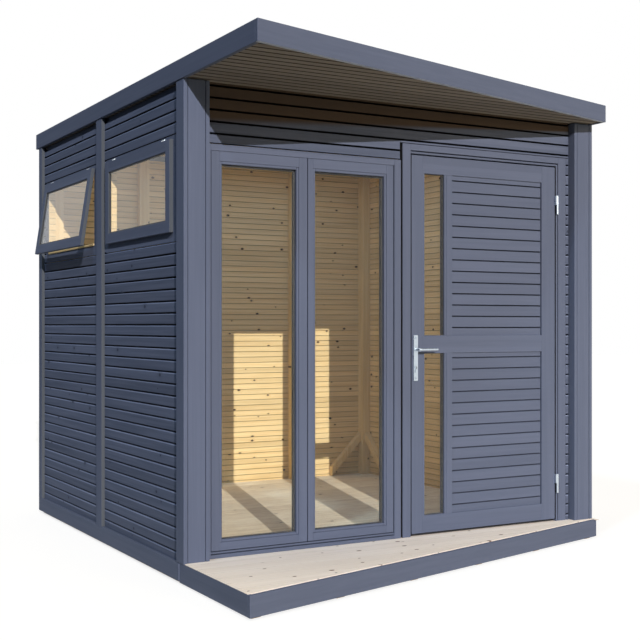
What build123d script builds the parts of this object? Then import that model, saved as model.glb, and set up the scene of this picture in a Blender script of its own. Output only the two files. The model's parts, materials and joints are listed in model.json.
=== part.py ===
from build123d import *
import math
import os

os.makedirs("parts", exist_ok=True)

# Garden office pod: a timber room of solid boards with a flat roof.  Roof and deck reach out
# before the front wall as a wedge, deep on the left and nearly nothing on the right.
# Frame: X to the right, Y to the back, Z up, origin on the ground under the middle of the
# whole outline.  Millimetres.

# ---------------------------------------------------------------- driving sizes
body_width = 2500            # over the corner casings
body_depth = 2403            # front of the front casings to back of the rear corners
bearer_height = 80
bearer_width = 50
bearer_count = 6
bearer_inset = 25            # outer face of the first bearer, in from the body side
floor_board = 27             # thickness of the floor boards and of the deck boards
wall_board = 44              # thickness of the solid wall boards
wall_inset = 20              # wall boards stand back from the corner boards
front_inset = 42             # front wall boards stand back from the front casings
board_pitch = 56.3           # visible height of one wall board
board_start = 30.6           # first groove over the deck top
plate_height = 38            # recessed wall plate between the boards and the ceiling
plate_recess = 20

casing_width = 131           # front casing, seen from the front
casing_side_depth = 91       # side board of the front casing
casing_return_depth = 86     # inner board of the front casing, and the back of the post
casing_return = 19           # thickness of that inner board
casing_recess = 2            # face board stands back between its two neighbours
corner_board = 65            # width of the rear corner boards
pilaster_width = 94
pilaster_offset = 8.5        # side pilasters stand this far behind the middle of the depth

deck_reach_left = 684        # deck before the front casings, at its left and right ends
deck_reach_right = 20
deck_left_inset = 5
deck_right_reach = 14
deck_fascia_board = 20
deck_fascia_height = 94
deck_fascia_drop = 4         # top of the deck fascia below the deck top
deck_fascia_end = 61         # side fascia ends this far behind the casing face
skirt_height = 82
skirt_drop = 8               # top of the skirt below the deck top

canopy_reach_left = 773      # roof before the front casings, at its left and right ends
canopy_reach_right = 105
roof_side_reach = 5
roof_back_reach = 49
roof_fascia_board = 20
roof_fascia_drop = 4         # fascia hangs below the ceiling boards
ceiling_board = 20
joist_height = 47
joist_width = 45
joist_count = 6
roof_board = 20
covering = 3

frame_depth = 70             # glazing frame and door frame
frame_proud = 4              # frames stand out before the front wall boards
glazing_header = 287         # front wall boards over the glazing
glazing_left_jamb = 27
glazing_right_jamb = 44
glazing_sill = 35
glazing_head = 33
glazing_sash_lap = 13        # the left sash is this much wider, for its overlapping stile
sash_stile = 55
sash_meeting_stile_left = 62
sash_meeting_stile_right = 44
sash_rail_bottom = 52
sash_rail_top = 61
sash_depth = 57
sash_recess = 4              # sashes stand back from their frame
pane = 24                    # double glazing

slot_width = 11              # shadow gap between the glazing frame and the door frame
slot_depth = 20
door_header = 201            # front wall boards over the door frame
hinge_side_width = 32        # front wall boards between the door frame and the casing
door_frame_left = 50
door_frame_right = 71
door_frame_head = 49
door_leaf_width = 968
door_leaf_height = 1971
door_leaf_thick = 44
door_gap = 7                 # all round the leaf
door_ground_gap = 14         # leaf over the deck top
door_recess = 2              # leaf stands back from the door frame
door_stop = 15               # lip of the frame behind the leaf
door_stop_gap = 5
sill_height = 8
door_stile_left = 82
door_stile_right = 95
door_mullion = 50
door_light_width = 127       # the narrow glass beside the left stile
door_rail_bottom = 90
door_rail_top = 91
door_rail_middle = 92
door_lower_field = 849       # height of the lower fields
door_panel = 24
door_panel_recess = 8
door_pane = 24

hinge_radius = 7
hinge_pin_radius = 3.5
hinge_pin_play = 0.3
hinge_pin_height = 45
hinge_bore_height = 48
hinge_height = 105
hinge_split = 1              # between the fixed and the moving knuckle
hinge_plate = 3
hinge_plate_depth = 45
hinge_stand_off = 2          # knuckle before the frame face
hinge_from_foot = 146        # hinges in from the foot and the top of the leaf
hinge_from_top = 159

handle_plate_width = 26
handle_plate_height = 238
handle_plate_thick = 8
handle_plate_low = 810       # over the deck top
handle_backset = 21          # spindle from the leaf's free edge
handle_plate_radius = 5
spindle_height = 973         # over the deck top
spindle_radius = 5
spindle_play = 1
lever_neck_radius = 8
lever_neck = 44              # lever grip stands this far from the plate
lever_radius = 6
lever_length = 108
lock_radius = 8              # lock cylinder in the plates
lock_drop = 100              # under the spindle
lock_stand_off = 4

side_sash_height = 442
side_sash_drop = 19.1        # sash top below the top of its frame
side_sash_margins = ((82, 62), (71, 82))  # from the trim boards before and behind each sash
side_sash_thick = 20
side_sash_member = 55
side_sash_gap = 0.5          # closed sash before its frame
side_frame_reach = 46        # frame beyond the sash at either end
side_frame_sill = 20         # least height of the frame under the sash
boards_over_window = 3       # whole wall boards over a side window
side_frame_overlap = 20      # sash laps over the frame
side_pane = 6
side_pane_recess = 8
open_sash_angle = 8.6        # the rear sash is tilted out at its foot
window_hinge_from_end = 107
window_hinge_length = 46
window_hinge_radius = 5

rear_post = 65               # square posts in the rear corners of the room
upright_width = 70
upright_depth = 45
upright_offset = 568           # middles of the two back wall uprights, either side of the middle
brace_width = 45
brace_thick = 45
brace_rise = 310             # braces leave the posts this high over the floor
piece_gap = 0.5              # between separate boards that share a node

# ---------------------------------------------------------------- levels and planes
deck_top = bearer_height + floor_board
door_frame_height = door_ground_gap + door_leaf_height + door_gap + door_frame_head
room_height = door_frame_height + door_header
glazing_height = room_height - glazing_header
ceiling_under = deck_top + room_height
plate_under = ceiling_under - plate_height
roof_top = ceiling_under + ceiling_board + joist_height + roof_board + covering
fascia_under = ceiling_under - roof_fascia_drop

# the open sash is the leftmost point of the outline, so the body stands right of the origin
sash_fall = side_sash_height + window_hinge_radius + piece_gap
sash_front = side_sash_thick - window_hinge_radius
open_angle = math.radians(open_sash_angle)
sash_reach = (
    sash_fall * math.sin(open_angle)
    + sash_front * math.cos(open_angle)
    + window_hinge_radius
    + side_sash_gap
    - wall_inset
)
x_middle = (sash_reach - max(roof_side_reach, deck_right_reach)) / 2
x_left = x_middle - body_width / 2
x_right = x_middle + body_width / 2
y_face = canopy_reach_left - (canopy_reach_left + body_depth + roof_back_reach) / 2
y_back = y_face + body_depth

x_wall_left = x_left + wall_inset
x_room_left = x_wall_left + wall_board
x_wall_right = x_right - wall_inset
x_room_right = x_wall_right - wall_board
y_wall_back = y_back - wall_inset
y_room_back = y_wall_back - wall_board
y_post_back = y_face + casing_return_depth
y_boards = y_face + front_inset
y_frames = y_boards - frame_proud
y_frames_back = y_frames + frame_depth
y_pilaster = y_face + body_depth / 2 + pilaster_offset

x_roof_left = x_left - roof_side_reach
x_roof_right = x_right + roof_side_reach
y_roof_back = y_back + roof_back_reach
x_deck_left = x_left + deck_left_inset
x_deck_right = x_right + deck_right_reach


# ---------------------------------------------------------------- helpers
def canopy_edge(x):
    """Y of the roof's slanted front edge."""
    share = (x - x_roof_left) / (x_roof_right - x_roof_left)
    return y_face - canopy_reach_left + (canopy_reach_left - canopy_reach_right) * share


def deck_edge(x):
    """Y of the deck's slanted front edge."""
    share = (x - x_deck_left) / (x_deck_right - x_deck_left)
    return y_face - deck_reach_left + (deck_reach_left - deck_reach_right) * share


def along_slant(board, reach_left, reach_right, length):
    """Thickness of a slanted board, measured along Y."""
    return board * math.hypot(1, (reach_left - reach_right) / length)


def rectangle_between(low, high):
    """Rectangle between two corners, in the open sketch."""
    with Locations(((low[0] + high[0]) / 2, (low[1] + high[1]) / 2)):
        Rectangle(high[0] - low[0], high[1] - low[1])


def outline(*points):
    """Closed straight-sided outline, in the open sketch."""
    Polygon(*points, align=None)


def box_between(low, high, mode=Mode.ADD):
    """Box between two corners, in the open part."""
    middle = [(a + b) / 2 for a, b in zip(low, high)]
    with Locations(tuple(middle)):
        Box(*[b - a for a, b in zip(low, high)], mode=mode)


def save(piece, name):
    piece.part.label = name
    export_step(piece.part, f"parts/{name}.step")


canopy_fascia_y = along_slant(roof_fascia_board, canopy_reach_left, canopy_reach_right,
                              x_roof_right - x_roof_left)
deck_fascia_y = along_slant(deck_fascia_board, deck_reach_left, deck_reach_right,
                            x_deck_right - x_deck_left)

# ---------------------------------------------------------------- base
bearer_step = (body_width - 2 * bearer_inset - bearer_width) / (bearer_count - 1)
with BuildPart() as floor_bearers:
    with BuildSketch(Plane.XY) as bearer_plan:
        for i in range(bearer_count):
            low = x_left + bearer_inset + i * bearer_step
            high = low + bearer_width
            outline(
                (low, deck_edge(low) + deck_fascia_y),
                (high, deck_edge(high) + deck_fascia_y),
                (high, y_wall_back),
                (low, y_wall_back),
            )
    extrude(amount=bearer_height)
save(floor_bearers, "floor_bearers")

with BuildPart() as floor_boards:
    with BuildSketch(Plane.XY.offset(bearer_height)) as floor_plan:
        rectangle_between((x_room_left, y_frames_back), (x_room_right, y_room_back))
    extrude(amount=floor_board)
save(floor_boards, "floor_boards")

x_deck_in_left = x_deck_left + deck_fascia_board
x_deck_in_right = x_deck_right - deck_fascia_board
with BuildPart() as deck_boards:
    with BuildSketch(Plane.XY.offset(bearer_height)) as deck_plan:
        outline(
            (x_deck_in_left, deck_edge(x_deck_in_left) + deck_fascia_y),
            (x_deck_in_right, deck_edge(x_deck_in_right) + deck_fascia_y),
            (x_deck_in_right, y_face + deck_fascia_end),
            (x_room_right, y_face + deck_fascia_end),
            (x_room_right, y_frames_back),
            (x_room_left, y_frames_back),
            (x_room_left, y_face + deck_fascia_end),
            (x_deck_in_left, y_face + deck_fascia_end),
        )
    extrude(amount=floor_board)
save(deck_boards, "deck_boards")

deck_fascia_top = deck_top - deck_fascia_drop
with BuildPart() as deck_fascia_front:
    with BuildSketch(Plane.XY.offset(deck_fascia_top - deck_fascia_height)) as front_plan:
        outline(
            (x_deck_left, deck_edge(x_deck_left)),
            (x_deck_right, deck_edge(x_deck_right)),
            (x_deck_right, deck_edge(x_deck_right) + deck_fascia_y),
            (x_deck_left, deck_edge(x_deck_left) + deck_fascia_y),
        )
    extrude(amount=deck_fascia_height)
save(deck_fascia_front, "deck_fascia_front")

with BuildPart() as deck_fascia_sides:
    with BuildSketch(Plane.XY.offset(deck_fascia_top - deck_fascia_height)) as side_plan:
        for low, high in ((x_deck_left, x_deck_in_left), (x_deck_in_right, x_deck_right)):
            outline(
                (low, deck_edge(low) + deck_fascia_y),
                (high, deck_edge(high) + deck_fascia_y),
                (high, y_face + deck_fascia_end),
                (low, y_face + deck_fascia_end),
            )
    extrude(amount=deck_fascia_height)
save(deck_fascia_sides, "deck_fascia_sides")

skirt_top = deck_top - skirt_drop
y_skirt_front = y_face + deck_fascia_end + piece_gap
with BuildPart() as skirt_boards:
    with BuildSketch(Plane.XY.offset(skirt_top - skirt_height)) as skirt_plan:
        rectangle_between((x_left, y_skirt_front), (x_wall_left, y_back))
        rectangle_between((x_wall_right, y_skirt_front), (x_right, y_back))
        rectangle_between((x_wall_left + piece_gap, y_wall_back), (x_wall_right - piece_gap, y_back))
    extrude(amount=skirt_height)
save(skirt_boards, "skirt_boards")

# ---------------------------------------------------------------- walls
board_rows = math.floor((plate_under - deck_top - board_start) / board_pitch)
frame_rows = math.ceil((side_sash_drop + side_sash_height + side_frame_sill) / board_pitch)
side_frame_top = deck_top + board_start + (board_rows - boards_over_window) * board_pitch
side_frame_low = side_frame_top - frame_rows * board_pitch

# front and back Y of the two side sashes, between the trim boards of their bays
side_bays = (
    (y_face + casing_side_depth, y_pilaster - pilaster_width / 2),
    (y_pilaster + pilaster_width / 2, y_back - corner_board),
)
sash_front_span, sash_rear_span = (
    (bay[0] + margins[0], bay[1] - margins[1]) for bay, margins in zip(side_bays, side_sash_margins)
)


def side_wall_bay(y_start, y_end, sash_span):
    """Sketch of one bay of the left wall with its window opening."""
    rectangle_between((y_start, bearer_height), (y_end, plate_under))
    frame_start = sash_span[0] - side_frame_reach
    frame_end = sash_span[1] + side_frame_reach
    with Locations(((frame_start + frame_end) / 2, (side_frame_low + side_frame_top) / 2)):
        Rectangle(frame_end - frame_start, side_frame_top - side_frame_low, mode=Mode.SUBTRACT)


with BuildPart() as left_wall_front_bay:
    with BuildSketch(Plane.YZ.offset(x_wall_left)) as front_bay_face:
        side_wall_bay(y_post_back, y_pilaster, sash_front_span)
    extrude(amount=wall_board)
save(left_wall_front_bay, "left_wall_front_bay")

with BuildPart() as left_wall_rear_bay:
    with BuildSketch(Plane.YZ.offset(x_wall_left)) as rear_bay_face:
        side_wall_bay(y_pilaster, y_wall_back, sash_rear_span)
    extrude(amount=wall_board)
save(left_wall_rear_bay, "left_wall_rear_bay")

with BuildPart() as right_wall:
    box_between((x_room_right, y_post_back, bearer_height), (x_wall_right, y_wall_back, plate_under))
save(right_wall, "right_wall")

with BuildPart() as back_wall:
    box_between((x_room_left, y_room_back, bearer_height), (x_room_right, y_wall_back, plate_under))
save(back_wall, "back_wall")

with BuildPart() as wall_plates:
    box_between(
        (x_wall_left + plate_recess, y_post_back, plate_under),
        (x_room_left, y_wall_back - plate_recess, ceiling_under),
    )
    box_between(
        (x_room_right, y_post_back, plate_under),
        (x_wall_right - plate_recess, y_wall_back - plate_recess, ceiling_under),
    )
    box_between(
        (x_room_left + piece_gap, y_room_back, plate_under),
        (x_room_right - piece_gap, y_wall_back - plate_recess, ceiling_under),
    )
save(wall_plates, "wall_plates")

x_front_wall_right = x_right - casing_width
x_door_frame_right = x_front_wall_right - hinge_side_width
x_leaf_right = x_door_frame_right - door_frame_right - door_gap
x_leaf_left = x_leaf_right - door_leaf_width
x_door_frame_left = x_leaf_left - door_gap - door_frame_left
x_glazing_right = x_door_frame_left - slot_width
x_glazing_left = x_left + casing_width
glazing_top = deck_top + glazing_height
leaf_low = deck_top + door_ground_gap
leaf_top = leaf_low + door_leaf_height
door_frame_top = deck_top + door_frame_height

with BuildPart() as header_over_glazing:
    box_between(
        (x_glazing_left, y_boards, glazing_top),
        (x_glazing_right, y_post_back, ceiling_under),
    )
save(header_over_glazing, "header_over_glazing")

with BuildPart() as header_over_door:
    box_between(
        (x_glazing_right, y_boards, door_frame_top),
        (x_front_wall_right, y_post_back, ceiling_under),
    )
save(header_over_door, "header_over_door")

with BuildPart() as hinge_side_boards:
    box_between(
        (x_door_frame_right, y_boards, deck_top),
        (x_front_wall_right, y_post_back, door_frame_top),
    )
save(hinge_side_boards, "hinge_side_boards")

# ---------------------------------------------------------------- posts and corner boards


def casing_plan(side):
    """U-shaped casing of a front corner: side board, face board and inner board.

    side is -1 for the left corner and 1 for the right one."""
    x_outer = x_middle + side * body_width / 2
    x_side = x_outer - side * wall_inset
    x_return = x_outer - side * (casing_width - casing_return)
    x_inner = x_outer - side * casing_width
    outline(
        (x_outer, y_face),
        (x_side, y_face),
        (x_side, y_face + casing_recess),
        (x_return, y_face + casing_recess),
        (x_return, y_face),
        (x_inner, y_face),
        (x_inner, y_post_back),
        (x_return, y_post_back),
        (x_return, y_face + wall_inset),
        (x_side, y_face + wall_inset),
        (x_side, y_face + casing_side_depth),
        (x_outer, y_face + casing_side_depth),
    )


# the side boards run on down to the deck fascia, outside the deck boards
casing_feet = {
    -1: (x_left, min(x_wall_left, x_deck_in_left)),
    1: (max(x_wall_right, x_deck_in_right), x_right),
}
for side, name in ((-1, "front_casing_left"), (1, "front_casing_right")):
    with BuildPart() as front_casing:
        with BuildSketch(Plane.XY.offset(deck_top)) as casing_section:
            casing_plan(side)
        extrude(amount=fascia_under - deck_top)
        foot_low, foot_high = casing_feet[side]
        box_between(
            (foot_low, y_face, deck_fascia_top),
            (foot_high, y_face + casing_side_depth, deck_top),
        )
    save(front_casing, name)

for side, name in ((-1, "front_post_left"), (1, "front_post_right")):
    x_side = x_middle + side * (body_width / 2 - wall_inset)
    x_return = x_middle + side * (body_width / 2 - casing_width + casing_return)
    with BuildPart() as front_post:
        box_between(
            (min(x_side, x_return), y_face + wall_inset, deck_top),
            (max(x_side, x_return), y_post_back, ceiling_under),
        )
    save(front_post, name)

with BuildPart() as rear_corner_boards:
    with BuildSketch(Plane.XY.offset(skirt_top)) as corner_plan:
        for side in (-1, 1):
            x_outer = x_middle + side * body_width / 2
            x_side = x_outer - side * wall_inset
            x_end = x_outer - side * corner_board
            outline(
                (x_outer, y_back),
                (x_end, y_back),
                (x_end, y_wall_back),
                (x_side, y_wall_back),
                (x_side, y_back - corner_board),
                (x_outer, y_back - corner_board),
            )
    extrude(amount=fascia_under - skirt_top)
save(rear_corner_boards, "rear_corner_boards")

with BuildPart() as wall_pilasters:
    with BuildSketch(Plane.XY.offset(skirt_top)) as pilaster_plan:
        half = pilaster_width / 2
        rectangle_between((x_left, y_pilaster - half), (x_wall_left, y_pilaster + half))
        rectangle_between((x_wall_right, y_pilaster - half), (x_right, y_pilaster + half))
        rectangle_between((x_middle - half, y_wall_back), (x_middle + half, y_back))
    extrude(amount=fascia_under - skirt_top)
save(wall_pilasters, "wall_pilasters")

with BuildPart() as rear_posts:
    with BuildSketch(Plane.XY.offset(deck_top)) as rear_post_plan:
        rectangle_between((x_room_left, y_room_back - rear_post), (x_room_left + rear_post, y_room_back))
        rectangle_between((x_room_right - rear_post, y_room_back - rear_post), (x_room_right, y_room_back))
    extrude(amount=room_height)
save(rear_posts, "rear_posts")

with BuildPart() as back_wall_uprights:
    with BuildSketch(Plane.XY.offset(deck_top)) as upright_plan:
        for side in (-1, 1):
            x_upright = x_middle + side * upright_offset
            rectangle_between(
                (x_upright - upright_width / 2, y_room_back - upright_depth),
                (x_upright + upright_width / 2, y_room_back),
            )
    extrude(amount=room_height)
save(back_wall_uprights, "back_wall_uprights")

brace_end = brace_width * math.sqrt(2)
brace_run = brace_rise - brace_end
brace_top = deck_top + brace_rise
with BuildPart() as corner_braces:
    for side in (-1, 1):
        x_post = x_middle + side * (body_width / 2 - wall_inset - wall_board - rear_post)
        x_toe = x_post - side * brace_run
        with BuildSketch(Plane.XZ.offset(-(y_room_back - brace_thick))) as back_brace_face:
            outline(
                (x_post, brace_top),
                (x_post, brace_top - brace_end),
                (x_toe, deck_top),
                (x_toe, deck_top + brace_end),
            )
        extrude(amount=-brace_thick)
    y_post = y_room_back - rear_post
    y_toe = y_post - brace_run
    for low in (x_room_left, x_room_right - brace_thick):
        with BuildSketch(Plane.YZ.offset(low)) as side_brace_face:
            outline(
                (y_post, brace_top),
                (y_post, brace_top - brace_end),
                (y_toe, deck_top),
                (y_toe, deck_top + brace_end),
            )
        extrude(amount=brace_thick)
save(corner_braces, "corner_braces")

# ---------------------------------------------------------------- front glazing
x_sashes_left = x_glazing_left + glazing_left_jamb
x_sashes_right = x_glazing_right - glazing_right_jamb
sashes_low = deck_top + glazing_sill
sashes_top = glazing_top - glazing_head
with BuildPart() as glazing_frame:
    with BuildSketch(Plane.XZ.offset(-y_frames)) as glazing_face:
        rectangle_between((x_glazing_left, deck_top), (x_glazing_right, glazing_top))
        with Locations(((x_sashes_left + x_sashes_right) / 2, (sashes_low + sashes_top) / 2)):
            Rectangle(x_sashes_right - x_sashes_left, sashes_top - sashes_low, mode=Mode.SUBTRACT)
    extrude(amount=-frame_depth)
save(glazing_frame, "glazing_frame")

x_meeting = (x_sashes_left + x_sashes_right + glazing_sash_lap) / 2
y_sashes = y_frames + sash_recess
glass_low = sashes_low + sash_rail_bottom
glass_top = sashes_top - sash_rail_top
sash_spans = (
    ("glazing_sash_left", x_sashes_left, x_meeting, sash_stile, sash_meeting_stile_left),
    ("glazing_sash_right", x_meeting, x_sashes_right, sash_meeting_stile_right, sash_stile),
)
for name, low, high, stile_low, stile_high in sash_spans:
    with BuildPart() as glazing_sash:
        with BuildSketch(Plane.XZ.offset(-y_sashes)) as sash_face:
            rectangle_between((low, sashes_low), (high, sashes_top))
            with Locations(((low + stile_low + high - stile_high) / 2, (glass_low + glass_top) / 2)):
                Rectangle(
                    high - stile_high - low - stile_low, glass_top - glass_low, mode=Mode.SUBTRACT
                )
        extrude(amount=-sash_depth)
    save(glazing_sash, name)

y_pane = y_sashes + (sash_depth - pane) / 2
with BuildPart() as glazing_panes:
    for _, low, high, stile_low, stile_high in sash_spans:
        box_between(
            (low + stile_low, y_pane, glass_low),
            (high - stile_high, y_pane + pane, glass_top),
        )
save(glazing_panes, "glazing_panes")

# ---------------------------------------------------------------- side windows
sash_top = side_frame_top - side_sash_drop
sash_low = sash_top - side_sash_height
side_opening_low = sash_low + side_frame_overlap
side_opening_top = sash_top - side_frame_overlap
with BuildPart() as side_window_frames:
    with BuildSketch(Plane.YZ.offset(x_wall_left)) as side_frame_face:
        for start, end in (sash_front_span, sash_rear_span):
            rectangle_between(
                (start - side_frame_reach, side_frame_low), (end + side_frame_reach, side_frame_top)
            )
            with Locations(((start + end) / 2, (side_opening_low + side_opening_top) / 2)):
                Rectangle(
                    end - start - 2 * side_frame_overlap,
                    side_opening_top - side_opening_low,
                    mode=Mode.SUBTRACT,
                )
    extrude(amount=wall_board)
save(side_window_frames, "side_window_frames")

x_sash_back = x_wall_left - side_sash_gap
x_sash_face = x_sash_back - side_sash_thick
x_window_hinge = x_sash_back - window_hinge_radius
z_window_hinge = sash_top + window_hinge_radius + piece_gap
hinge_line = Axis((x_window_hinge, 0, z_window_hinge), (0, 1, 0))


def side_sash_section(sash_span):
    """Ring of a side sash, in the open sketch."""
    start, end = sash_span
    rectangle_between((start, sash_low), (end, sash_top))
    with Locations(((start + end) / 2, (sash_low + sash_top) / 2)):
        Rectangle(
            end - start - 2 * side_sash_member,
            side_sash_height - 2 * side_sash_member,
            mode=Mode.SUBTRACT,
        )


def side_pane_section(sash_span):
    """Glass of a side sash, in the open sketch."""
    rectangle_between(
        (sash_span[0] + side_sash_member, sash_low + side_sash_member),
        (sash_span[1] - side_sash_member, sash_top - side_sash_member),
    )


with BuildPart() as side_sash_front:
    with BuildSketch(Plane.YZ.offset(x_sash_face)) as closed_sash_face:
        side_sash_section(sash_front_span)
    extrude(amount=side_sash_thick)
save(side_sash_front, "side_sash_front")

with BuildPart() as closed_rear_sash:
    with BuildSketch(Plane.YZ.offset(x_sash_face)) as rear_sash_face:
        side_sash_section(sash_rear_span)
    extrude(amount=side_sash_thick)
with BuildPart() as side_sash_rear:
    add(closed_rear_sash.part.rotate(hinge_line, open_sash_angle))
save(side_sash_rear, "side_sash_rear")

with BuildPart() as closed_rear_pane:
    with BuildSketch(Plane.YZ.offset(x_sash_face + side_pane_recess)) as rear_pane_face:
        side_pane_section(sash_rear_span)
    extrude(amount=side_pane)
with BuildPart() as side_window_panes:
    with BuildSketch(Plane.YZ.offset(x_sash_face + side_pane_recess)) as front_pane_face:
        side_pane_section(sash_front_span)
    extrude(amount=side_pane)
    add(closed_rear_pane.part.rotate(hinge_line, open_sash_angle))
save(side_window_panes, "side_window_panes")

with BuildPart() as side_window_hinges:
    for start, end in (sash_front_span, sash_rear_span):
        for y in (start + window_hinge_from_end, end - window_hinge_from_end):
            with Locations(Location((x_window_hinge, y, z_window_hinge), (90, 0, 0))):
                Cylinder(window_hinge_radius, window_hinge_length)
save(side_window_hinges, "side_window_hinges")

# ---------------------------------------------------------------- door frame and leaf
y_leaf = y_frames + door_recess
y_leaf_back = y_leaf + door_leaf_thick
y_stop = y_leaf_back + door_stop_gap
x_open_left = x_leaf_left - door_gap
x_open_right = x_leaf_right + door_gap
x_hinge = x_open_right + hinge_plate
y_hinge = y_frames - hinge_stand_off - hinge_radius
knuckle = (hinge_height - hinge_split) / 2
hinge_feet = (leaf_low + hinge_from_foot, leaf_top - hinge_from_top - hinge_height)

with BuildPart() as door_frame:
    box_between(
        (x_door_frame_left, y_frames, deck_top),
        (x_door_frame_right, y_frames_back, door_frame_top),
    )
    box_between(
        (x_glazing_right, y_frames + slot_depth, deck_top),
        (x_door_frame_left, y_frames_back, door_frame_top),
    )
    box_between(
        (x_open_left, y_frames, deck_top),
        (x_open_right, y_stop, leaf_top + door_gap),
        mode=Mode.SUBTRACT,
    )
    box_between(
        (x_open_left + door_stop, y_stop, deck_top),
        (x_open_right - door_stop, y_frames_back, leaf_top + door_gap - door_stop),
        mode=Mode.SUBTRACT,
    )
    box_between(
        (x_open_left, y_leaf_back - door_leaf_thick / 2, deck_top),
        (x_open_right, y_frames_back, deck_top + sill_height),
    )
    for foot in hinge_feet:
        box_between(
            (x_open_right, y_frames, foot),
            (x_open_right + hinge_plate, y_hinge + hinge_plate_depth, foot + knuckle),
            mode=Mode.SUBTRACT,
        )
save(door_frame, "door_frame")

field_low = leaf_low + door_rail_bottom
field_split = field_low + door_lower_field
field_high = field_split + door_rail_middle
field_top = leaf_top - door_rail_top
x_light_left = x_leaf_left + door_stile_left
x_light_right = x_light_left + door_light_width
x_panel_left = x_light_right + door_mullion
x_panel_right = x_leaf_right - door_stile_right
x_spindle = x_leaf_left + handle_backset
z_spindle = deck_top + spindle_height
z_lock = z_spindle - lock_drop
fields = ((field_low, field_split), (field_high, field_top))

with BuildPart() as door_leaf:
    box_between((x_leaf_left, y_leaf, leaf_low), (x_leaf_right, y_leaf_back, leaf_top))
    for low, high in fields:
        box_between((x_light_left, y_leaf, low), (x_light_right, y_leaf_back, high), mode=Mode.SUBTRACT)
        box_between((x_panel_left, y_leaf, low), (x_panel_right, y_leaf_back, high), mode=Mode.SUBTRACT)
    with Locations(Location((x_spindle, (y_leaf + y_leaf_back) / 2, z_spindle), (90, 0, 0))):
        Cylinder(spindle_radius + spindle_play, door_leaf_thick, mode=Mode.SUBTRACT)
    for foot in hinge_feet:
        low = foot + knuckle + hinge_split
        box_between(
            (x_leaf_right - hinge_plate, y_leaf, low),
            (x_leaf_right, y_hinge + hinge_plate_depth, low + knuckle),
            mode=Mode.SUBTRACT,
        )
save(door_leaf, "door_leaf")

y_panel = y_leaf + door_panel_recess
with BuildPart() as door_slat_panels:
    for low, high in fields:
        box_between((x_panel_left, y_panel, low), (x_panel_right, y_panel + door_panel, high))
save(door_slat_panels, "door_slat_panels")

y_door_pane = y_leaf + (door_leaf_thick - door_pane) / 2
with BuildPart() as door_panes:
    for low, high in fields:
        box_between((x_light_left, y_door_pane, low), (x_light_right, y_door_pane + door_pane, high))
save(door_panes, "door_panes")

# ---------------------------------------------------------------- door hinges
with BuildPart() as door_hinges_fixed:
    for foot in hinge_feet:
        with Locations((x_hinge, y_hinge, foot + knuckle / 2)):
            Cylinder(hinge_radius, knuckle)
        with Locations((x_hinge, y_hinge, foot + knuckle)):
            Cylinder(hinge_pin_radius, hinge_pin_height, align=(Align.CENTER, Align.CENTER, Align.MIN))
        box_between(
            (x_open_right, y_hinge, foot),
            (x_open_right + hinge_plate, y_hinge + hinge_plate_depth, foot + knuckle),
        )
save(door_hinges_fixed, "door_hinges_fixed")

with BuildPart() as door_hinges_moving:
    for foot in hinge_feet:
        low = foot + knuckle + hinge_split
        with Locations((x_hinge, y_hinge, low + knuckle / 2)):
            Cylinder(hinge_radius, knuckle)
        box_between(
            (x_leaf_right - hinge_plate, y_hinge - hinge_plate, low),
            (x_hinge, y_hinge, low + knuckle),
        )
        box_between(
            (x_leaf_right - hinge_plate, y_hinge - hinge_plate, low),
            (x_leaf_right, y_hinge + hinge_plate_depth, low + knuckle),
        )
        with Locations((x_hinge, y_hinge, low)):
            Cylinder(
                hinge_pin_radius + hinge_pin_play,
                hinge_bore_height,
                align=(Align.CENTER, Align.CENTER, Align.MIN),
                mode=Mode.SUBTRACT,
            )
save(door_hinges_moving, "door_hinges_moving")

# ---------------------------------------------------------------- handle
plate_middle = deck_top + handle_plate_low + handle_plate_height / 2
with BuildPart() as handle_plates:
    for y_start, direction in ((y_leaf, 1), (y_leaf_back, -1)):
        with BuildSketch(Plane.XZ.offset(-y_start)) as plate_face:
            with Locations((x_spindle, plate_middle)):
                RectangleRounded(handle_plate_width, handle_plate_height, handle_plate_radius)
            with Locations((x_spindle, z_spindle)):
                Circle(spindle_radius + spindle_play, mode=Mode.SUBTRACT)
        extrude(amount=direction * handle_plate_thick)
        with BuildSketch(Plane.XZ.offset(-y_start)) as lock_face:
            with Locations((x_spindle, z_lock)):
                Circle(lock_radius)
        extrude(amount=direction * (handle_plate_thick + lock_stand_off))
save(handle_plates, "handle_plates")

y_plate_out = y_leaf - handle_plate_thick
y_plate_in = y_leaf_back + handle_plate_thick
y_grip_out = y_plate_out - lever_neck
y_grip_in = y_plate_in + lever_neck
with BuildPart() as door_lever:
    with Locations(Location((x_spindle, (y_grip_out + y_grip_in) / 2, z_spindle), (90, 0, 0))):
        Cylinder(spindle_radius, y_grip_in - y_grip_out)
    for y_neck, y_grip in ((y_plate_out - piece_gap, y_grip_out), (y_plate_in + piece_gap, y_grip_in)):
        with Locations(Location((x_spindle, (y_neck + y_grip) / 2, z_spindle), (90, 0, 0))):
            Cylinder(lever_neck_radius, abs(y_grip - y_neck))
        with Locations((x_spindle, y_grip, z_spindle)):
            Sphere(lever_radius)
        with Locations(Location((x_spindle + lever_length / 2, y_grip, z_spindle), (0, 90, 0))):
            Cylinder(lever_radius, lever_length)
save(door_lever, "door_lever")

# ---------------------------------------------------------------- roof
x_ceiling_left = x_roof_left + roof_fascia_board
x_ceiling_right = x_roof_right - roof_fascia_board
y_ceiling_back = y_roof_back - roof_fascia_board


def roof_layer_plan(x_low, x_high):
    """Plan of the roof inside its fascia boards, between two X."""
    outline(
        (x_low, canopy_edge(x_low) + canopy_fascia_y),
        (x_high, canopy_edge(x_high) + canopy_fascia_y),
        (x_high, y_ceiling_back),
        (x_low, y_ceiling_back),
    )


with BuildPart() as ceiling_boards:
    with BuildSketch(Plane.XY.offset(ceiling_under)) as ceiling_plan:
        roof_layer_plan(x_ceiling_left, x_ceiling_right)
    extrude(amount=ceiling_board)
save(ceiling_boards, "ceiling_boards")

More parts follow.
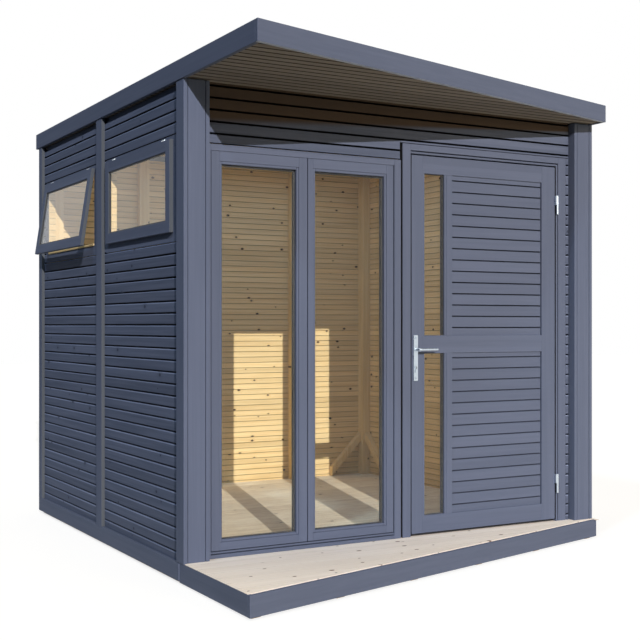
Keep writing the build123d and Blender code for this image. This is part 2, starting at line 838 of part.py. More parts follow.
joists_under = ceiling_under + ceiling_board
joist_step = (x_ceiling_right - x_ceiling_left - joist_width) / (joist_count - 1)
with BuildPart() as roof_joists:
    with BuildSketch(Plane.XY.offset(joists_under)) as joist_plan:
        for i in range(joist_count):
            low = x_ceiling_left + i * joist_step
            roof_layer_plan(low, low + joist_width)
    extrude(amount=joist_height)
save(roof_joists, "roof_joists")

roof_boards_under = joists_under + joist_height
with BuildPart() as roof_boards:
    with BuildSketch(Plane.XY.offset(roof_boards_under)) as roof_board_plan:
        roof_layer_plan(x_ceiling_left, x_ceiling_right)
    extrude(amount=roof_board)
save(roof_boards, "roof_boards")

with BuildPart() as roof_covering:
    with BuildSketch(Plane.XY.offset(roof_boards_under + roof_board)) as covering_plan:
        roof_layer_plan(x_ceiling_left, x_ceiling_right)
    extrude(amount=covering)
save(roof_covering, "roof_covering")

fascia_height = roof_top - fascia_under
with BuildPart() as roof_fascia_front:
    with BuildSketch(Plane.XY.offset(fascia_under)) as fascia_front_plan:
        outline(
            (x_roof_left, canopy_edge(x_roof_left)),
            (x_roof_right, canopy_edge(x_roof_right)),
            (x_roof_right, canopy_edge(x_roof_right) + canopy_fascia_y),
            (x_roof_left, canopy_edge(x_roof_left) + canopy_fascia_y),
        )
    extrude(amount=fascia_height)
save(roof_fascia_front, "roof_fascia_front")

for low, high, name in (
    (x_roof_left, x_ceiling_left, "roof_fascia_left"),
    (x_ceiling_right, x_roof_right, "roof_fascia_right"),
):
    with BuildPart() as roof_fascia_side:
        with BuildSketch(Plane.XY.offset(fascia_under)) as fascia_side_plan:
            outline(
                (low, canopy_edge(low) + canopy_fascia_y),
                (high, canopy_edge(high) + canopy_fascia_y),
                (high, y_ceiling_back),
                (low, y_ceiling_back),
            )
        extrude(amount=fascia_height)
    save(roof_fascia_side, name)

with BuildPart() as roof_fascia_back:
    box_between((x_roof_left, y_ceiling_back, fascia_under), (x_roof_right, y_roof_back, roof_top))
save(roof_fascia_back, "roof_fascia_back")
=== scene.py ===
import json
import math

import bmesh
import bpy
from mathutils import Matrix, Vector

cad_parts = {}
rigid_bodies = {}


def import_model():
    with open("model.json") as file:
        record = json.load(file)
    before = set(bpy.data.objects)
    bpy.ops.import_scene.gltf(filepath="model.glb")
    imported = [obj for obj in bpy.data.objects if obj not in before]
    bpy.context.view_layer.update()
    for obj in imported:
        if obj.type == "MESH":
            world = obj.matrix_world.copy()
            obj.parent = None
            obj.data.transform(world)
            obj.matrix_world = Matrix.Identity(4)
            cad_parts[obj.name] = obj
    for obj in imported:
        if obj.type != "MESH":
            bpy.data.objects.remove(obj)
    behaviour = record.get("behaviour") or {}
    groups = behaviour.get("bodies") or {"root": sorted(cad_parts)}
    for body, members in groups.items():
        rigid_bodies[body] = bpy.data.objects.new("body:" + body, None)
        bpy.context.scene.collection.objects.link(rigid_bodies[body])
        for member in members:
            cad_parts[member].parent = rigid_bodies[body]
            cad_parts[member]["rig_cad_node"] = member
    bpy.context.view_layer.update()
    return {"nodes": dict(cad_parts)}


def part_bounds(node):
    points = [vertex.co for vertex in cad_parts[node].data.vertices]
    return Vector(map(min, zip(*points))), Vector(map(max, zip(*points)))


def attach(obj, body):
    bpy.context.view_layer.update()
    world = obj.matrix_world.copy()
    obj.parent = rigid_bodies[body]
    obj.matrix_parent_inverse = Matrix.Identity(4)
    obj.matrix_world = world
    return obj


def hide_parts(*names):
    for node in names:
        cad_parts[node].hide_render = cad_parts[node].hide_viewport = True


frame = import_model()

# -------- sizes, in metres
X, Y, Z = 0, 1, 2

# rounding of edges
EASE = 0.0015  # planed boards
POST_EASE = 0.003  # posts, braces and glazing beads
EDGE_EASE = 0.002  # roof and deck edge boards, bearers
CASING_EASE = 0.0018
LEAF_EASE = 0.0012
STRIP_EASE = 0.001  # narrow strips, lever
SEAL_EASE = 0.0008  # seals and other small parts
KNUCKLE_EASE = 0.0006
SPACER_EASE = 0.0005  # spacers, and the beads of the door's lights
GLASS_EASE = 0.0004  # glass, roofing felt
FIN_EASE = 0.0003  # thin black fins of painted shade in the door's gaps, keyway
SLOT_EASE = 0.0002

# boards laid side by side: their pitch and where their first joint is
BOARD = 0.1126  # wall board, with a false groove half way up its outer face
BOARD_START = 0.0869  # over the deck
SLAT = 0.060  # boards of the soffit and of the door fields
SLAT_START = 0.027  # under the top of a field
SOFFIT_START = 0.006  # before the front casings
DECK_BOARD = 0.104
DECK_START = 0.04  # before the front casings
FLOOR_BOARD = 0.114

# half width and depth of the grooves between boards
WALL_VEE = (0.0042, 0.013)
ROOM_VEE = (0.0020, 0.009)
SLAT_VEE = (0.0036, 0.009)
SLAT_BACK_VEE = (0.0024, 0.006)
SOFFIT_VEE = (0.0045, 0.016)
DECK_VEE = (0.0012, 0.004)
FLOOR_VEE = (0.0008, 0.0012)

SEAM = 0.004  # open joint between the front boards and the frames under them
SEAM_DEPTH = 0.024  # depth at which open joints are closed
DECK_SPLIT = 0.061  # where the deck narrows to the room's width, behind the casings' face
DECK_STRIP = 0.1  # length of the pale strip on the deck's right side board
STRIP_GAP = 0.0005  # that strip's distance from its neighbours
ROOF_STRIPS = 3
FELT = 0.0015  # thickness of the roofing felt
LAP = 0.05  # how far one strip of felt covers the next
# front casings: from and to across, from and to behind the face, foot over the deck
CASING = (
    (0.0, 0.020, 0.0, 0.091, None),  # outer side board, past the deck
    (0.0225, 0.1095, 0.001, 0.020, 0.0),  # face board
    (0.020, 0.112, 0.013, 0.022, 0.001),  # bottom of the joints on both sides of it
    (0.112, 0.131, 0.0, 0.086, 0.0),  # inner side board
)

BEAD = 0.013  # glazing bead, part of each sash member
BEAD_STEP = 0.002  # how far it stands back
BEAD_END = 0.001  # thickness of the beads over and under a light of the door
SHEET = 0.004  # one glass of a double pane
SPACER = 0.008
SPACER_FOOT = 0.002
DOOR_SPACER = 0.003
SILL_LIP = 0.018  # first step of the glazing's sill over the deck
SILL_STEP = 0.005  # how far the second step stands back
MEETING_GAP = 0.005  # groove between the two tall sashes
MEETING_STILES = (0.062, 0.044)  # from its middle to the glass, left and right
SHADOW = 0.004  # shadow joint between the glazing's frame and its sashes
REBATE = 0.028  # depth at which those joints end
HEAD_DROP = 0.002  # gap over the glazing's frame

FRAME_SKIN = 0.004  # how far the side windows' frames are painted inwards
RUBBER = 0.007  # black gasket round each side pane
RUBBER_STEP = 0.001  # how far the gasket stands out from the glass
SILL_SEARCH = 0.03  # the sill's corners are lower than this over the open sash's foot
SILL_OUT, SILL_RISE = 0.006, 0.012  # strip under the open sash

GAP = 0.007  # round the door leaf
STRIP = 0.010  # rebate strip round the leaf, behind a fine groove
FINE = 0.006  # width of that groove
FINE_DEPTH = 0.016
JAMB_START = 0.011  # width of the joint between the glazing's frame and the door's
JAMB_SEAL = (0.030, 0.034)  # where that joint is closed, behind the frame's face
LIP = 0.015  # width of the stop behind the leaf
STOP_GAP = 0.005  # between the leaf and the seals on the stop
SEAL = 0.004  # their thickness
SEAL_FOOT = 0.01  # how far over the deck they end
SILL_SEAL = 0.008  # height of the seal under the leaf
FIN = 0.001  # thickness of the black fins on the sides of the door's gaps, painted shade that darkens them
FIN_START = 0.003  # how far they stand back
FIN_DEPTH = 0.018
FIN_END = 0.002  # how far before the leaf's corners its own one ends
FIELD = 0.849  # height of the leaf's lower fields
RAIL = 0.092  # middle rail

LOCK_DROP = 0.745  # lock's share of the handle plate's height, from its top
# flat parts on the plates: half width, foot and head, from and to over the plate
LOCK_TAIL = (0.005, -0.0165, 0.004, 0.0, 0.0022)
# KEYWAY and SCREW_SLOT are thin black sheets: painted shade of the keyway and of the screws' slots
KEYWAY = (0.0016, 0.0015, 0.0145, 0.0020, 0.0029)
SCREW_SLOT = (0.0028, -0.0006, 0.0006, 0.0011, 0.0016)
# round ones: radius, thickness, rise of the middle and its height over the plate
LOCK_ROUND = (0.0085, 0.0026, 0.008, 0.0012)
SCREW_HEAD = (0.0036, 0.0014, 0.0, 0.0006)
SCREW_PLACES = (0.06, 0.94)  # shares of the plate's height, from its top
ROUND_SIDES = 24
ROUND_BEVEL = 0.2  # share of the thickness

SQUARELY = 0.9  # least share of a face's normal along a direction that it looks in
MOSTLY = 0.7  # the same for faces that may lean
CLOSE = 1e-5  # corners nearer than this are one
AT_END = 0.001  # corners nearer than this to a side are on it
ROOM_SIDE = 0.002  # least distance of the room's faces from the middle of a wall
SLACK = 1e-6  # share of a board that rounding may add to a row
FLAT = math.radians(0.5)  # faces that turn less than this are one
SHARP = math.radians(35)  # edges sharper than this are eased
SMOOTH = math.radians(22)  # edges blunter than this are shaded smooth on round parts


# -------- making pieces
def take(*pieces):
    bpy.ops.object.select_all(action="DESELECT")
    for piece in pieces:
        piece.select_set(True)
    bpy.context.view_layer.objects.active = pieces[0]


def edit(piece, kind="FACE", action="DESELECT"):
    take(piece)
    bpy.ops.object.mode_set(mode="EDIT")
    bpy.ops.mesh.select_mode(type=kind)
    bpy.ops.mesh.select_all(action=action)


def leave():
    bpy.ops.object.mode_set(mode="OBJECT")


def unit(axis, sign=1):
    return [sign if i == axis else 0 for i in range(3)]


def middle(low, high):
    return [(a + b) / 2 for a, b in zip(low, high)]


def reach(corners):
    """Lowest and highest corner of the box round some points."""
    return tuple([pick(c[a] for c in corners) for a in range(3)] for pick in (min, max))


def spanning(low, high, run, span):
    """Corners of a box with other levels along one axis and upwards."""
    near, far = list(low), list(high)
    near[run], far[run], near[Z], far[Z] = span
    return near, far


def shrunk(low, high, amounts):
    """Corners of a box made smaller at both ends of each axis."""
    return [a + by for a, by in zip(low, amounts)], [b - by for b, by in zip(high, amounts)]


def looks(face, direction, least=SQUARELY):
    """Says whether a face looks along a direction."""
    return sum(a * b for a, b in zip(face.normal, direction)) > least


def pick_faces(piece, direction):
    """Selects, in edit mode, the faces that look along a direction."""
    mesh = bmesh.from_edit_mesh(piece.data)
    for face in mesh.faces:
        face.select_set(looks(face, direction))
    mesh.select_flush_mode()
    bmesh.update_edit_mesh(piece.data)


def block(low, high):
    """Plain block between two corners, still to be shaped."""
    size = [b - a for a, b in zip(low, high)]
    bpy.ops.mesh.primitive_cube_add(size=1, location=middle(low, high), scale=size)
    bpy.ops.object.transform_apply()
    return bpy.context.active_object


def bevel(piece, width, segments):
    edit(piece, "EDGE", "SELECT")
    bpy.ops.mesh.bevel(offset=width, segments=segments, affect="EDGES")
    leave()
    return piece


def board(low, high, ease=EASE):
    """Planed board between two corners, its edges eased."""
    return bevel(block(low, high), ease, 2)


def assemble(name, pieces):
    """Joins boards that are fixed together into one named piece."""
    take(*pieces)
    if len(pieces) > 1:
        bpy.ops.object.join()
    piece = bpy.context.active_object
    piece.name = name
    piece.data.name = name
    return piece


def saw(piece, point, normal):
    """Cuts off what lies on the normal's side of a plane and closes the cut."""
    edit(piece, action="SELECT")
    bpy.ops.mesh.bisect(plane_co=point, plane_no=normal, use_fill=True, clear_outer=True)
    leave()


def saw_each(piece, point, normal):
    """Saws a row's boards one by one, so that every board's end is closed."""
    edit(piece, action="SELECT")
    bpy.ops.mesh.separate(type="LOOSE")
    leave()
    boards = list(bpy.context.selected_objects)
    for one in boards:
        saw(one, point, normal)
    return assemble(boards[0].name, boards)


def part_box(node, axis, start, end):
    """Corners of what a CAD part has between two levels along an axis."""
    vertices = frame["nodes"][node].data.vertices
    return reach([v.co for v in vertices if start <= v.co[axis] <= end])


def tilt(piece, angle, low, high):
    """Swings a piece about a level line along Y and seats it between two corners."""
    edit(piece, action="SELECT")
    bpy.ops.transform.rotate(value=angle, orient_axis="Y", center_override=(0, 0, 0))
    leave()
    centre = middle(*reach([v.co for v in piece.data.vertices]))
    edit(piece, action="SELECT")
    bpy.ops.transform.translate(value=[a - b for a, b in zip(middle(low, high), centre)])
    leave()
    return piece


def split_face(piece, direction, rise, levels):
    """Divides the face that looks along direction at some levels."""
    for level in levels:
        pick_faces(piece, direction)
        bpy.ops.mesh.bisect(plane_co=unit(rise, level), plane_no=unit(rise))


def groove(piece, direction, vee):
    """Gives each face that looks along direction its sloping edges."""
    pick_faces(piece, direction)
    bpy.ops.mesh.inset(thickness=vee[0], depth=vee[1], use_individual=True, use_even_offset=True)


def boarding(low, high, run, rise, out, pitch, start, vee, fields=1, back=(0, 0), back_fields=1):
    """Boards laid side by side between two corners.

    run and rise are the axes along and across the boards, out the sign of the face that shows.
    start is the level of one joint.  fields says how many strips each board's face has."""
    deep = 3 - run - rise
    front_depth, back_depth = (vee[1], back[1]) if out > 0 else (back[1], vee[1])
    first = start - math.ceil((start - low[rise]) / pitch - SLACK) * pitch
    count = math.ceil((high[rise] - first) / pitch - SLACK)
    near, far = list(low), list(high)
    near[rise], far[rise] = first, first + pitch
    near[deep], far[deep] = low[deep] + back_depth, high[deep] - front_depth
    piece = block(near, far)
    edit(piece)
    for direction, parts, shape in ((out, fields, vee), (-out, back_fields, back)):
        if shape[1]:
            levels = [first + pitch * k / parts for k in range(1, parts)]
            split_face(piece, unit(deep, direction), rise, levels)
            groove(piece, unit(deep, direction), shape)
    leave()
    if count > 1:
        row = piece.modifiers.new("row", "ARRAY")
        row.use_relative_offset = False
        row.use_constant_offset = True
        row.constant_offset_displace = unit(rise, pitch)
        row.count = count
        bpy.ops.object.modifier_apply(modifier=row.name)
    if first < low[rise] - CLOSE:
        saw(piece, low, unit(rise, -1))
    if first + count * pitch > high[rise] + CLOSE:
        saw(piece, high, unit(rise))
    return piece


def eased(node, ease=EASE, round_parts=False):
    """A CAD part's own shape with its sharp edges eased."""
    take(frame["nodes"][node])
    bpy.ops.object.duplicate()
    piece = bpy.context.active_object
    del piece["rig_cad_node"]
    edit(piece, action="SELECT")
    bpy.ops.mesh.remove_doubles(threshold=CLOSE)
    bpy.ops.mesh.dissolve_limited(angle_limit=FLAT)
    leave()
    edges = piece.modifiers.new("ease", "BEVEL")
    edges.width = ease
    edges.segments = 2
    edges.limit_method = "ANGLE"
    edges.angle_limit = SHARP
    bpy.ops.object.modifier_apply(modifier=edges.name)
    if round_parts:
        bpy.ops.object.shade_smooth_by_angle(angle=SMOOTH)
    return piece


def ring(low, high, sides, ease=EASE, deep=Y):
    """Four boards round an opening in an upright plane: left, right, foot and head widths."""
    run = X if deep == Y else Y
    left, right, foot, head = sides
    inner = (low[run] + left, high[run] - right)
    spans = (
        (low[run], inner[0], low[Z], high[Z]),
        (inner[1], high[run], low[Z], high[Z]),
        (*inner, low[Z], low[Z] + foot),
        (*inner, high[Z] - head, high[Z]),
    )
    return [board(*spanning(low, high, run, span), ease) for span in spans]


def by_grain(piece):
    """Paint whose brush strokes and grain follow a board's longest side."""
    longest = max(range(3), key=lambda axis: piece.dimensions[axis])
    return (paint_run_x, paint_run_y, paint_upright)[longest]


def finish(name, pieces, material, nodes, body="root", inner=None, is_inner=None):
    """Names a piece, gives it its finish, hides the CAD parts that it stands for and attaches it
    to a body.
    """
    pieces = pieces if isinstance(pieces, list) else [pieces]
    for part in pieces:
        chosen = material(part) if callable(material) else material
        part.data.materials.clear()
        part.data.materials.append(chosen)
        if inner:
            part.data.materials.append(inner)
        for face in part.data.polygons:
            face.material_index = 1 if inner and is_inner(face) else 0
    piece = assemble(name, pieces)
    if nodes:
        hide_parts(*nodes)
    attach(piece, body)
    return piece


# -------- finishes
# grain and knots of all timbers; factors along, across and into the boards
GRAIN_DEEP = 12.0
FIGURE = (0.9, 1 / 6, 3.0)  # broad figure; across, a share of the fineness
GRAIN_SHARES = (0.6, 0.4)  # of fine grain and broad figure
GRAIN_RANGE = (0.36, 0.66)  # where the pale wood ends and the dark wood begins
BOARD_SHIFT = 9.0  # how far apart the grain of two boards may start
KNOT_STRETCH = 0.62  # knots are longer along the grain
KNOT_LEAST = 0.45  # smallest knot, as a share of the largest
KNOT_RIM = (0.55, 1.15)  # where a knot ends, as shares of its size
HALO_RIM = (0.8, 3.4)  # where the darker wood round it ends
HALO_SHARE = 0.45


def rgb(red, green, blue):
    return (red, green, blue, 1.0)


def put(tree, kind, sockets=None, **settings):
    """Adds a shader node; a socket's value is a number, a colour or another node's output."""
    made = tree.nodes.new(kind)
    for key, value in settings.items():
        setattr(made, key, value)
    for key, value in (sockets or {}).items():
        if isinstance(value, bpy.types.NodeSocket):
            tree.links.new(value, made.inputs[key])
        else:
            made.inputs[key].default_value = value
    return made


def maths(tree, operation, *values):
    return put(tree, "ShaderNodeMath", dict(enumerate(values)), operation=operation).outputs[0]


def vector(tree, *values):
    return put(tree, "ShaderNodeCombineXYZ", dict(enumerate(values))).outputs[0]


def scaled(tree, parts, factors):
    """Vector of some coordinates, each multiplied by its own factor."""
    return vector(tree, *(maths(tree, "MULTIPLY", part, by) for part, by in zip(parts, factors)))


def noise(tree, place, scale, detail, **more):
    sockets = {"Vector": place, "Scale": scale, "Detail": detail, **more}
    return put(tree, "ShaderNodeTexNoise", sockets).outputs[0]


def blend_colour(tree, share, first, second, how="MIX"):
    sockets = {0: share, 6: first, 7: second}
    return put(tree, "ShaderNodeMix", sockets, data_type="RGBA", blend_type=how).outputs[2]


def shaded(tree, colour, amount):
    """A colour made lighter or darker by an amount."""
    return blend_colour(tree, 1.0, colour, vector(tree, amount, amount, amount), "MULTIPLY")


def fade(tree, value, from_low, from_high, to_low=0.0, to_high=1.0):
    sockets = dict(enumerate((value, from_low, from_high, to_low, to_high)))
    kind = "ShaderNodeMapRange"
    return put(tree, kind, sockets, interpolation_type="SMOOTHSTEP").outputs[0]


def new_material(name, **numbers):
    material = bpy.data.materials.new(name)
    material.use_nodes = True
    tree = material.node_tree
    shader = tree.nodes["Principled BSDF"]
    for key, value in numbers.items():
        shader.inputs[key.replace("_", " ")].default_value = value
    return material, tree, shader


def object_place(tree):
    return put(tree, "ShaderNodeTexCoord").outputs["Object"]


def axes_of(tree):
    """Object coordinates, taken apart."""
    return put(tree, "ShaderNodeSeparateXYZ", {0: object_place(tree)}).outputs


def raise_grain(tree, shader, height, strength, relief):
    sockets = {"Height": height, "Strength": strength, "Distance": relief}
    bump = put(tree, "ShaderNodeBump", sockets)
    tree.links.new(bump.outputs[0], shader.inputs["Normal"])


def add_knots(tree, colour, along, over, dark, knots):
    """Knots with darker wood round them: how many along and across a metre, which share of them
    is there, their largest size and colour."""
    per_run, per_across, share, largest, knot_colour = knots
    place = scaled(tree, (along, over), (per_run, per_across))
    sockets = {"Vector": place, "Scale": 1.0, "Randomness": 0.8}
    cells = put(tree, "ShaderNodeTexVoronoi", sockets, voronoi_dimensions="2D")
    centre = put(tree, "ShaderNodeSeparateXYZ", {0: cells.outputs["Position"]}).outputs
    off_run = maths(tree, "SUBTRACT", along, maths(tree, "DIVIDE", centre[0], per_run))
    off_over = maths(tree, "SUBTRACT", over, maths(tree, "DIVIDE", centre[1], per_across))
    off_run = maths(tree, "MULTIPLY", off_run, KNOT_STRETCH)
    squares = [maths(tree, "MULTIPLY", off, off) for off in (off_run, off_over)]
    away = maths(tree, "SQRT", maths(tree, "ADD", *squares))
    luck = put(tree, "ShaderNodeSeparateColor", {0: cells.outputs["Color"]}).outputs
    size = fade(tree, luck[1], 0.0, 1.0, KNOT_LEAST * largest, largest)
    away = maths(tree, "DIVIDE", away, size)
    inside = fade(tree, away, *KNOT_RIM, 1.0, 0.0)
    halo = fade(tree, away, *HALO_RIM, 1.0, 0.0)
    present = maths(tree, "GREATER_THAN", luck[0], 1 - share)
    halo = maths(tree, "MULTIPLY", maths(tree, "MULTIPLY", halo, present), HALO_SHARE)
    colour = blend_colour(tree, halo, colour, dark)
    return blend_colour(tree, maths(tree, "MULTIPLY", inside, present), colour, knot_colour)


def timber(
    name, run, across, pale, dark, pitch=0.0, start=0.0, spread=0.12, knots=None,
    roughness=(0.6, 0.72), relief=0.0006, fineness=70, length=1.6, joint_shade=None, edge_highlight=None,
    second=None,
):
    """Wood whose grain follows one axis, each board of its own tone, with or without knots.

    spread is how far the boards' tones differ, fineness and length the grain's factors across and
    along. joint_shade is the half width of the darkening along the joints, which is painted shade
    of the grooves, its depth of tone, and how far over the joint it lies. edge_highlight is the
    height and brightness of a painted highlight along a board's top edge, under each joint. second
    is a function that builds the share of a second colour, and that colour."""
    material, tree, shader = new_material(name, Specular_IOR_Level=0.02)
    axes = axes_of(tree)
    along, over, deep = axes[run], axes[across], axes[3 - run - across]

    def in_boards(level):
        """How many boards a point is from a level."""
        return maths(tree, "DIVIDE", maths(tree, "SUBTRACT", over, level), pitch)

    if pitch:
        number = {"W": maths(tree, "FLOOR", in_boards(start))}
        chance = put(tree, "ShaderNodeTexWhiteNoise", number, noise_dimensions="1D").outputs[0]
        along = maths(tree, "ADD", along, maths(tree, "MULTIPLY", chance, BOARD_SHIFT))
    else:
        chance = noise(tree, object_place(tree), 1.3, 1.0)
    stretched = scaled(tree, (along, over, deep), (length, fineness, GRAIN_DEEP))
    grain = noise(tree, stretched, 1.0, 4.0, Roughness=0.6, Distortion=0.35)
    factors = (FIGURE[0], FIGURE[1] * fineness, FIGURE[2])
    broad = noise(tree, scaled(tree, (along, over, deep), factors), 1.0, 2.0)
    mixed = [maths(tree, "MULTIPLY", part, by) for part, by in zip((grain, broad), GRAIN_SHARES)]
    mixed = maths(tree, "ADD", *mixed)
    colour = blend_colour(tree, fade(tree, mixed, *GRAIN_RANGE), pale, dark)
    colour = shaded(tree, colour, fade(tree, chance, 0.0, 1.0, 1 - spread, 1 + spread))
    if second:
        colour = blend_colour(tree, second[0](tree, axes), colour, second[1])
    # painted shade: darkening along each joint stands in for the shade in the grooves; above
    # shifts it up so that the lower board's top edge stays light
    if joint_shade:
        half, depth, above = joint_shade
        place = maths(tree, "FRACT", in_boards(start + above))
        off = maths(tree, "MULTIPLY", maths(tree, "PINGPONG", place, 0.5), pitch)
        lit = fade(tree, off, 0.35 * half, half, 1 - depth, 1.0)
        # painted highlight: a brighter band just under each joint stands in for light caught by
        # the lower board's top edge
        if edge_highlight:
            edge = 1 - half / pitch
            highlight = fade(tree, place, edge - edge_highlight[0] / pitch, edge, 1.0, edge_highlight[1])
            lit = maths(tree, "MULTIPLY", lit, highlight)
        colour = shaded(tree, colour, lit)
    if knots:
        colour = add_knots(tree, colour, along, over, dark, knots)
    tree.links.new(colour, shader.inputs["Base Color"])
    tree.links.new(fade(tree, grain, 0.2, 0.8, *roughness), shader.inputs["Roughness"])
    raise_grain(tree, shader, grain, 0.5, relief)
    return material


deck_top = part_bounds("deck_boards")[1][Z]
casing_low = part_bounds("front_casing_left")[0]
header_low, header_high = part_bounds("header_over_glazing")
y_face = casing_low[Y]
wall_start = deck_top + BOARD_START
deck_start = y_face - DECK_START
soffit_start = y_face - SOFFIT_START
OUTSIDE, INSIDE = (BOARD / 2, wall_start), (BOARD / 3, wall_start)  # strips of the wall boards

# pale and dark tone of each finish
PAINT = (rgb(0.118, 0.141, 0.211), rgb(0.107, 0.129, 0.194))
PAINT_BOARDS = (PAINT[0], rgb(0.090, 0.110, 0.167))
PAINT_EDGES = (rgb(0.106, 0.119, 0.138), rgb(0.094, 0.106, 0.122))
# painted highlight: a paler slate that stands in for the floor's bounce light on the front
# fascia's underside
UNDERSIDE_HIGHLIGHT = (rgb(0.40, 0.46, 0.60), rgb(0.34, 0.39, 0.51))
# painted shade: the soffit's brown-grey stands in for the warm bounce light that it gets in the
# canopy's shade
SOFFIT_PAINTED_WARM_SHADE = (rgb(0.235, 0.215, 0.200), rgb(0.185, 0.168, 0.155))
# painted shade: a dark brown that stands in for the canopy's shadow on the header's top boards
HEADER_PAINTED_SHADE = rgb(0.080, 0.060, 0.048)
PINE = (rgb(0.93, 0.72, 0.385), rgb(0.80, 0.58, 0.275))
FLOOR_PINE = (rgb(0.98, 0.88, 0.68), rgb(0.76, 0.64, 0.46))
DECK_PINE = (rgb(0.97, 0.885, 0.80), rgb(0.88, 0.79, 0.70))
SAWN = (rgb(0.62, 0.49, 0.33), rgb(0.44, 0.32, 0.20))
KNOT = rgb(0.075, 0.036, 0.016)
DECK_KNOT = rgb(0.16, 0.08, 0.05)
PAINT_KNOT = rgb(0.055, 0.066, 0.100)

# knots as in add_knots; joint shades and edge highlights as in timber: painted shade along the
# joints, and a painted highlight under them
PAINT_KNOTS = (2.6, 9.0, 0.6, 0.010, PAINT_KNOT)
PINE_KNOTS = (3.2, 9.0, 0.85, 0.0085, KNOT)
WALL_JOINT_SHADE = (0.0068, 0.97, 0.0018)
# painted highlight under each joint of the wall boards: its height and brightness
WALL_EDGE_HIGHLIGHT = (0.0042, 2.4)
SOFFIT_JOINT_SHADE = (0.0085, 0.92, 0.0)
ROOM_JOINT_SHADE = (0.0030, 0.35, 0.0)
FLOOR_JOINT_SHADE = (0.0020, 0.25, 0.0)
DECK_JOINT_SHADE = (0.0022, 0.45, 0.0)
SLAT_JOINT_SHADE = 0.0050  # half width of the painted joint shade on the door's slats; its depth differs from field to field
SLAT_JOINT_SHADES = (("low", 0.45), ("high", 0.72))
CANOPY_SHADE_SLOPE = 0.33  # how fast the header's painted shade gets lower to the right, per metre, following the canopy's shadow
CANOPY_SHADE_RIM = (0.56, 0.72)  # where it ends, as shares of the header's height


def painted_canopy_shade(tree, axes):
    """Share of the painted shade, a dark brown that stands in for the canopy's shadow: the top
    boards, and less of them where the canopy is shallow.
    """
    across = maths(tree, "SUBTRACT", axes[X], header_low[X])
    shrink = maths(tree, "SUBTRACT", 1.0, maths(tree, "MULTIPLY", across, CANOPY_SHADE_SLOPE))
    height = maths(tree, "MULTIPLY", shrink, header_high[Z] - header_low[Z])
    down = maths(tree, "DIVIDE", maths(tree, "SUBTRACT", header_high[Z], axes[Z]), height)
    return fade(tree, down, *CANOPY_SHADE_RIM, 1.0, 0.0)


paint_run_x, paint_run_y = (
    timber("slate_paint_along_" + name, run, Z, *PAINT, *OUTSIDE, spread, relief=0.0004)
    for name, run, spread in (("x", X, 0.05), ("y", Y, 0.07))
)
paint_upright = timber("slate_paint_upright", Z, X, *PAINT, spread=0.04, relief=0.0003)
paint_edge = timber("slate_paint_edges", Z, X, *PAINT_EDGES, spread=0.04, relief=0.0003)
underside_highlight = timber("fascia_underside_highlight", X, Y, *UNDERSIDE_HIGHLIGHT, spread=0.04, relief=0.0002)
# painted wall boards, with painted shade along their joints and a painted highlight under each
# joint
boards_run_x, boards_run_y = (
    timber(
        "slate_boards_along_" + name, run, Z, *PAINT_BOARDS, *OUTSIDE, spread, PAINT_KNOTS,
        relief=0.0008, joint_shade=WALL_JOINT_SHADE, edge_highlight=WALL_EDGE_HIGHLIGHT,
    )
    for name, run, spread in (("x", X, 0.08), ("y", Y, 0.10))
)
# header boards, with the canopy's shadow painted in dark brown over their top
boards_with_painted_canopy_shade = timber(
    "slate_boards_painted_canopy_shade", X, Z, *PAINT_BOARDS, *OUTSIDE, 0.05,
    relief=0.0008, joint_shade=WALL_JOINT_SHADE, second=(painted_canopy_shade, HEADER_PAINTED_SHADE),
)
# soffit boards, their brown-grey colour painted warm shade
soffit_painted_warm_shade = timber(
    "soffit_painted_warm_shade", X, Y, *SOFFIT_PAINTED_WARM_SHADE, SLAT, soffit_start, 0.06, joint_shade=SOFFIT_JOINT_SHADE
)
pine_run_x, pine_run_y = (
    timber("pine_along_" + name, run, Z, *PINE, *INSIDE, 0.07, PINE_KNOTS, joint_shade=ROOM_JOINT_SHADE)
    for name, run in (("x", X), ("y", Y))
)
pine_upright = timber(
    "pine_upright", Z, X, *PINE, spread=0.06, knots=(3.0, 11.0, 0.3, 0.009, KNOT)
)
pine_ceiling = timber(
    "pine_ceiling", X, Y, *PINE, SLAT, y_face, 0.08, (2.4, 9.0, 0.4, 0.009, KNOT)
)
pine_floor = timber(
    "pine_floor", X, Y, *FLOOR_PINE, FLOOR_BOARD, y_face, 0.03, (2.2, 8.0, 0.3, 0.009, KNOT),
    fineness=110, length=16.0, joint_shade=FLOOR_JOINT_SHADE,
)
deck_timber = timber(
    "deck_timber", X, Y, *DECK_PINE, DECK_BOARD, deck_start, 0.04,
    (2.4, 9.6, 0.8, 0.010, DECK_KNOT), joint_shade=DECK_JOINT_SHADE,
)
bearer_timber = timber(
    "sawn_bearer", Y, Z, *SAWN, spread=0.1, relief=0.0012, roughness=(0.75, 0.9)
)


def make_glass():
    material, tree, shader = new_material(
        "clear_glass", Transmission_Weight=1.0, Roughness=0.0, IOR=1.2, Specular_IOR_Level=0.1
    )
    cloud = noise(tree, object_place(tree), 2.0, 1.0)
    colour = blend_colour(tree, cloud, rgb(0.985, 0.995, 0.99), rgb(0.99, 1.0, 0.995))
    tree.links.new(colour, shader.inputs["Base Color"])
    clear = put(tree, "ShaderNodeBsdfTransparent", {"Color": rgb(0.99, 0.995, 0.99)})
    path = put(tree, "ShaderNodeLightPath").outputs
    scattered = maths(tree, "GREATER_THAN", path["Diffuse Depth"], 0.5)
    passes = maths(tree, "MAXIMUM", path["Is Shadow Ray"], scattered)
    sockets = {0: passes, 1: shader.outputs[0], 2: clear.outputs[0]}
    both = put(tree, "ShaderNodeMixShader", sockets)
    tree.links.new(both.outputs[0], tree.nodes["Material Output"].inputs["Surface"])
    return material


